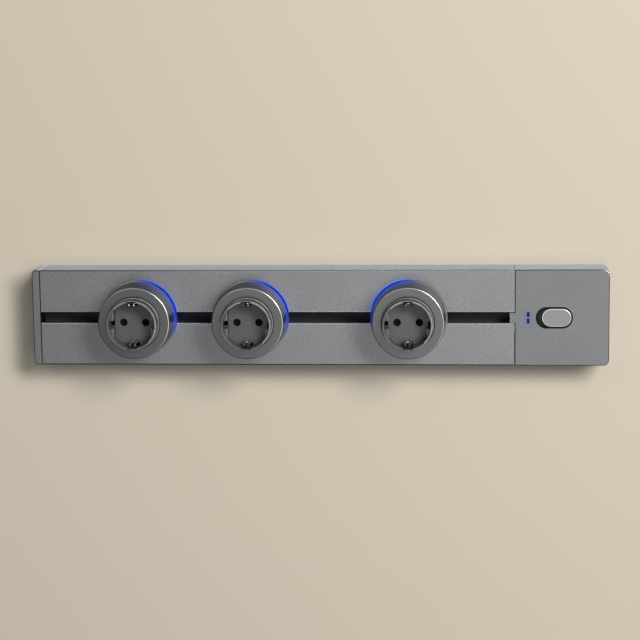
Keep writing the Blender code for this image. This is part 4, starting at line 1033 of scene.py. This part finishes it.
strap_z = 16.55 * mm
strap_low = 21.35 * mm
strap_bend = 1.0 * mm
strap_thickness = 0.7 * mm
half_width = 3.5 * mm
split = 0.6 * mm
prong_dome = 0.45 * mm
prong_tip = 1.4 * mm
fork = well_floor + 0.9 * mm
rise = lip - 2.2 * mm - fork
prong_bends = ((0.0, 0.0), (-1.05 * mm, 0.16), (-1.5 * mm, 0.38), (-0.9 * mm, 0.64), (0.9 * mm, 1.0))
bridge = [(-strap_z, fork), (-strap_z, strap_low + strap_bend), (-strap_z + strap_bend, strap_low)]
bridge += [(strap_z - strap_bend, strap_low), (strap_z, strap_low + strap_bend), (strap_z, fork)]
bronze = strip_metal("spring_bronze", (0.72, 0.59, 0.46), (0.40, 0.27, 0.19), 0.22)


def bent_path(points, steps):
    """A smooth line through given points, as a cardinal curve."""
    padded = [points[0], *points, points[-1]]
    line = []
    for k in range(len(points) - 1):
        p0, p1, p2, p3 = (Vector(p) for p in padded[k : k + 4])
        for i in range(steps):
            t = i / steps
            a = 2 * p1 + (p2 - p0) * t
            b = (2 * p0 - 5 * p1 + 4 * p2 - p3) * t * t
            c = (3 * p1 - p0 - 3 * p2 + p3) * t**3
            line.append((a + b + c) / 2)
    line.append(Vector(points[-1]))
    return line


def grow_strip(bm, line, centre_x, low_x, high_x, dome, tip):
    """Adds a bent strip: the line is (z, height), it is domed across, and it narrows to a round tip."""
    across = 6
    length = sum((b - a).length for a, b in zip(line, line[1:]))
    rings = []
    run = 0.0
    middle = (low_x + high_x) / 2
    for i, point in enumerate(line):
        before = line[max(i - 1, 0)]
        after = line[min(i + 1, len(line) - 1)]
        if i:
            run += (point - line[i - 1]).length
        heading = (after - before).normalized()
        normal = Vector((-heading.y, heading.x))
        left = length - run
        narrow = 1.0 if left >= tip else math.sqrt(max(0.02, 1.0 - (1.0 - left / max(tip, 1e-9)) ** 2))
        ring = []
        for side in (1, -1):
            for k in range(across + 1):
                u = -1.0 + 2.0 * (k if side == 1 else across - k) / across
                x = centre_x + middle + u * narrow * (high_x - low_x) / 2
                thick = side * strap_thickness / 2 * math.sqrt(max(0.05, 1.0 - 0.6 * u**4))
                place = point + normal * (dome * (1.0 - u * u) + thick)
                ring.append(bm.verts.new((x, -rail_face - place.y, place.x)))
        rings.append(ring)
    faces = []
    count = len(rings[0])
    for a, b in zip(rings, rings[1:]):
        for k in range(count):
            j = (k + 1) % count
            faces.append(bm.faces.new((a[k], a[j], b[j], b[k])))
    faces.append(bm.faces.new(rings[0][::-1]))
    faces.append(bm.faces.new(rings[-1]))
    bmesh.ops.recalc_face_normals(bm, faces=faces)


for tag, centre_x in socket_centres.items():
    bm = bmesh.new()
    grow_strip(bm, bent_path(bridge, 5), centre_x, -half_width, half_width, 0.0, 0.0)
    for mirror in (1, -1):
        prong = [(mirror * (strap_z + out), fork + rise * share) for out, share in prong_bends]
        for low_x, high_x in ((-half_width, -split), (split, half_width)):
            grow_strip(bm, bent_path(prong, 6), centre_x, low_x, high_x, prong_dome * mirror, prong_tip)
    strap = settle(mesh_piece("earth_fork" + tag, bm), bronze, 60)
    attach(strap, "socket_body" + tag)
    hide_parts("earth_strap" + tag)

# Backdrop: a plain painted wall behind the track. Only the camera sees it, and only from the front, so
# that the other sides can be looked at too and light reaches the back of the track.

wall_reach = 3.0
wall_gap = 0.4 * mm
wall_corners = [(wall_reach * x, wall_gap, wall_reach * z) for x, z in rectangle(-1, 1, -1, 1)]
wall_mesh = bpy.data.meshes.new("wall")
wall_mesh.from_pydata(wall_corners, [], [(0, 1, 2, 3)])
wall = link("wall", wall_mesh)
wall_look, tree, shader = new_look("wall_paint", 0.0, 0.2)
set_inputs(tree, shader, Base_Color=(0.625, 0.56, 0.454), Roughness=0.8)
clear = tree.nodes.new("ShaderNodeBsdfTransparent")
choice = tree.nodes.new("ShaderNodeMixShader")
seen = tree.nodes.new("ShaderNodeLightPath").outputs["Is Camera Ray"]
back = tree.nodes.new("ShaderNodeNewGeometry").outputs["Backfacing"]
front = math_node(tree, "SUBTRACT", 1.0, back)
feed(tree, math_node(tree, "MULTIPLY", seen, front), choice.inputs[0])
feed(tree, clear.outputs[0], choice.inputs[1])
feed(tree, shader.outputs[0], choice.inputs[2])
set_inputs(tree, tree.nodes["Material Output"], Surface=choice.outputs[0])
wall_mesh.materials.append(wall_look)

# Light: a dim surround, a large soft box at the upper right, weaker ones at the left and in front, and
# a long one behind the wall, above the track, that grazes the top of the rail.

world = bpy.data.worlds.new("surround")
bpy.context.scene.world = world
world.use_nodes = True
tree = world.node_tree
set_inputs(tree, tree.nodes["Background"], Color=(0.86, 0.92, 1.0), Strength=0.1)


def soft_box(name, place, width, height, watts, colour, roll=0.0, target=(0.0, 0.0, 0.0)):
    data = bpy.data.lights.new(name, "AREA")
    data.shape = "RECTANGLE"
    data.size = width
    data.size_y = height
    data.energy = watts
    data.color = colour
    obj = link(name, data)
    aim = (Vector(target) - Vector(place)).to_track_quat("-Z", "Y").to_matrix().to_4x4()
    obj.matrix_world = Matrix.Translation(place) @ aim @ Matrix.Rotation(math.radians(roll), 4, "Z")


soft_box("right_box", (1.5, -2.35, 1.15), 1.5, 0.8, 88.0, (1.0, 0.985, 0.96), roll=-54)
soft_box("left_box", (-1.1, -2.3, 1.2), 0.8, 0.8, 4.0, (1.0, 0.98, 0.95))
soft_box("front_box", (0.3, -3.0, -0.45), 1.8, 1.0, 15.5, (0.97, 0.985, 1.0))
soft_box("back_box", (0.3, 1.1, 0.32), 2.1, 0.25, 4.4, (0.88, 0.94, 1.0), target=(0.0, 0.0, 0.04))

# Camera: a long lens in front of the track, a little above it and to the right of its middle. It looks
# slightly down and to the left, and is rolled by less than a degree.

view_place = Vector((0.125721, -1.732461, 0.271164))
view_yaw = -0.073
view_pitch = 0.159
view_roll = -0.011
ahead_x = math.sin(view_yaw) * math.cos(view_pitch)
ahead_y = math.cos(view_yaw) * math.cos(view_pitch)
ahead = Vector((ahead_x, ahead_y, -math.sin(view_pitch)))
right = Vector((math.cos(view_yaw), -math.sin(view_yaw), 0.0))
up = right.cross(ahead)
rolled_right = math.cos(view_roll) * right + math.sin(view_roll) * up
rolled_up = math.cos(view_roll) * up - math.sin(view_roll) * right
stance = Matrix((rolled_right, rolled_up, -ahead)).transposed().to_4x4()
stance.translation = view_place
lens = bpy.data.cameras.new("camera")
lens.sensor_width = 36.0
lens.lens = 112.17
lens.clip_end = 20.0
camera = link("camera", lens)
camera.matrix_world = stance
bpy.context.scene.camera = camera
bpy.context.scene.view_settings.view_transform = "Standard"
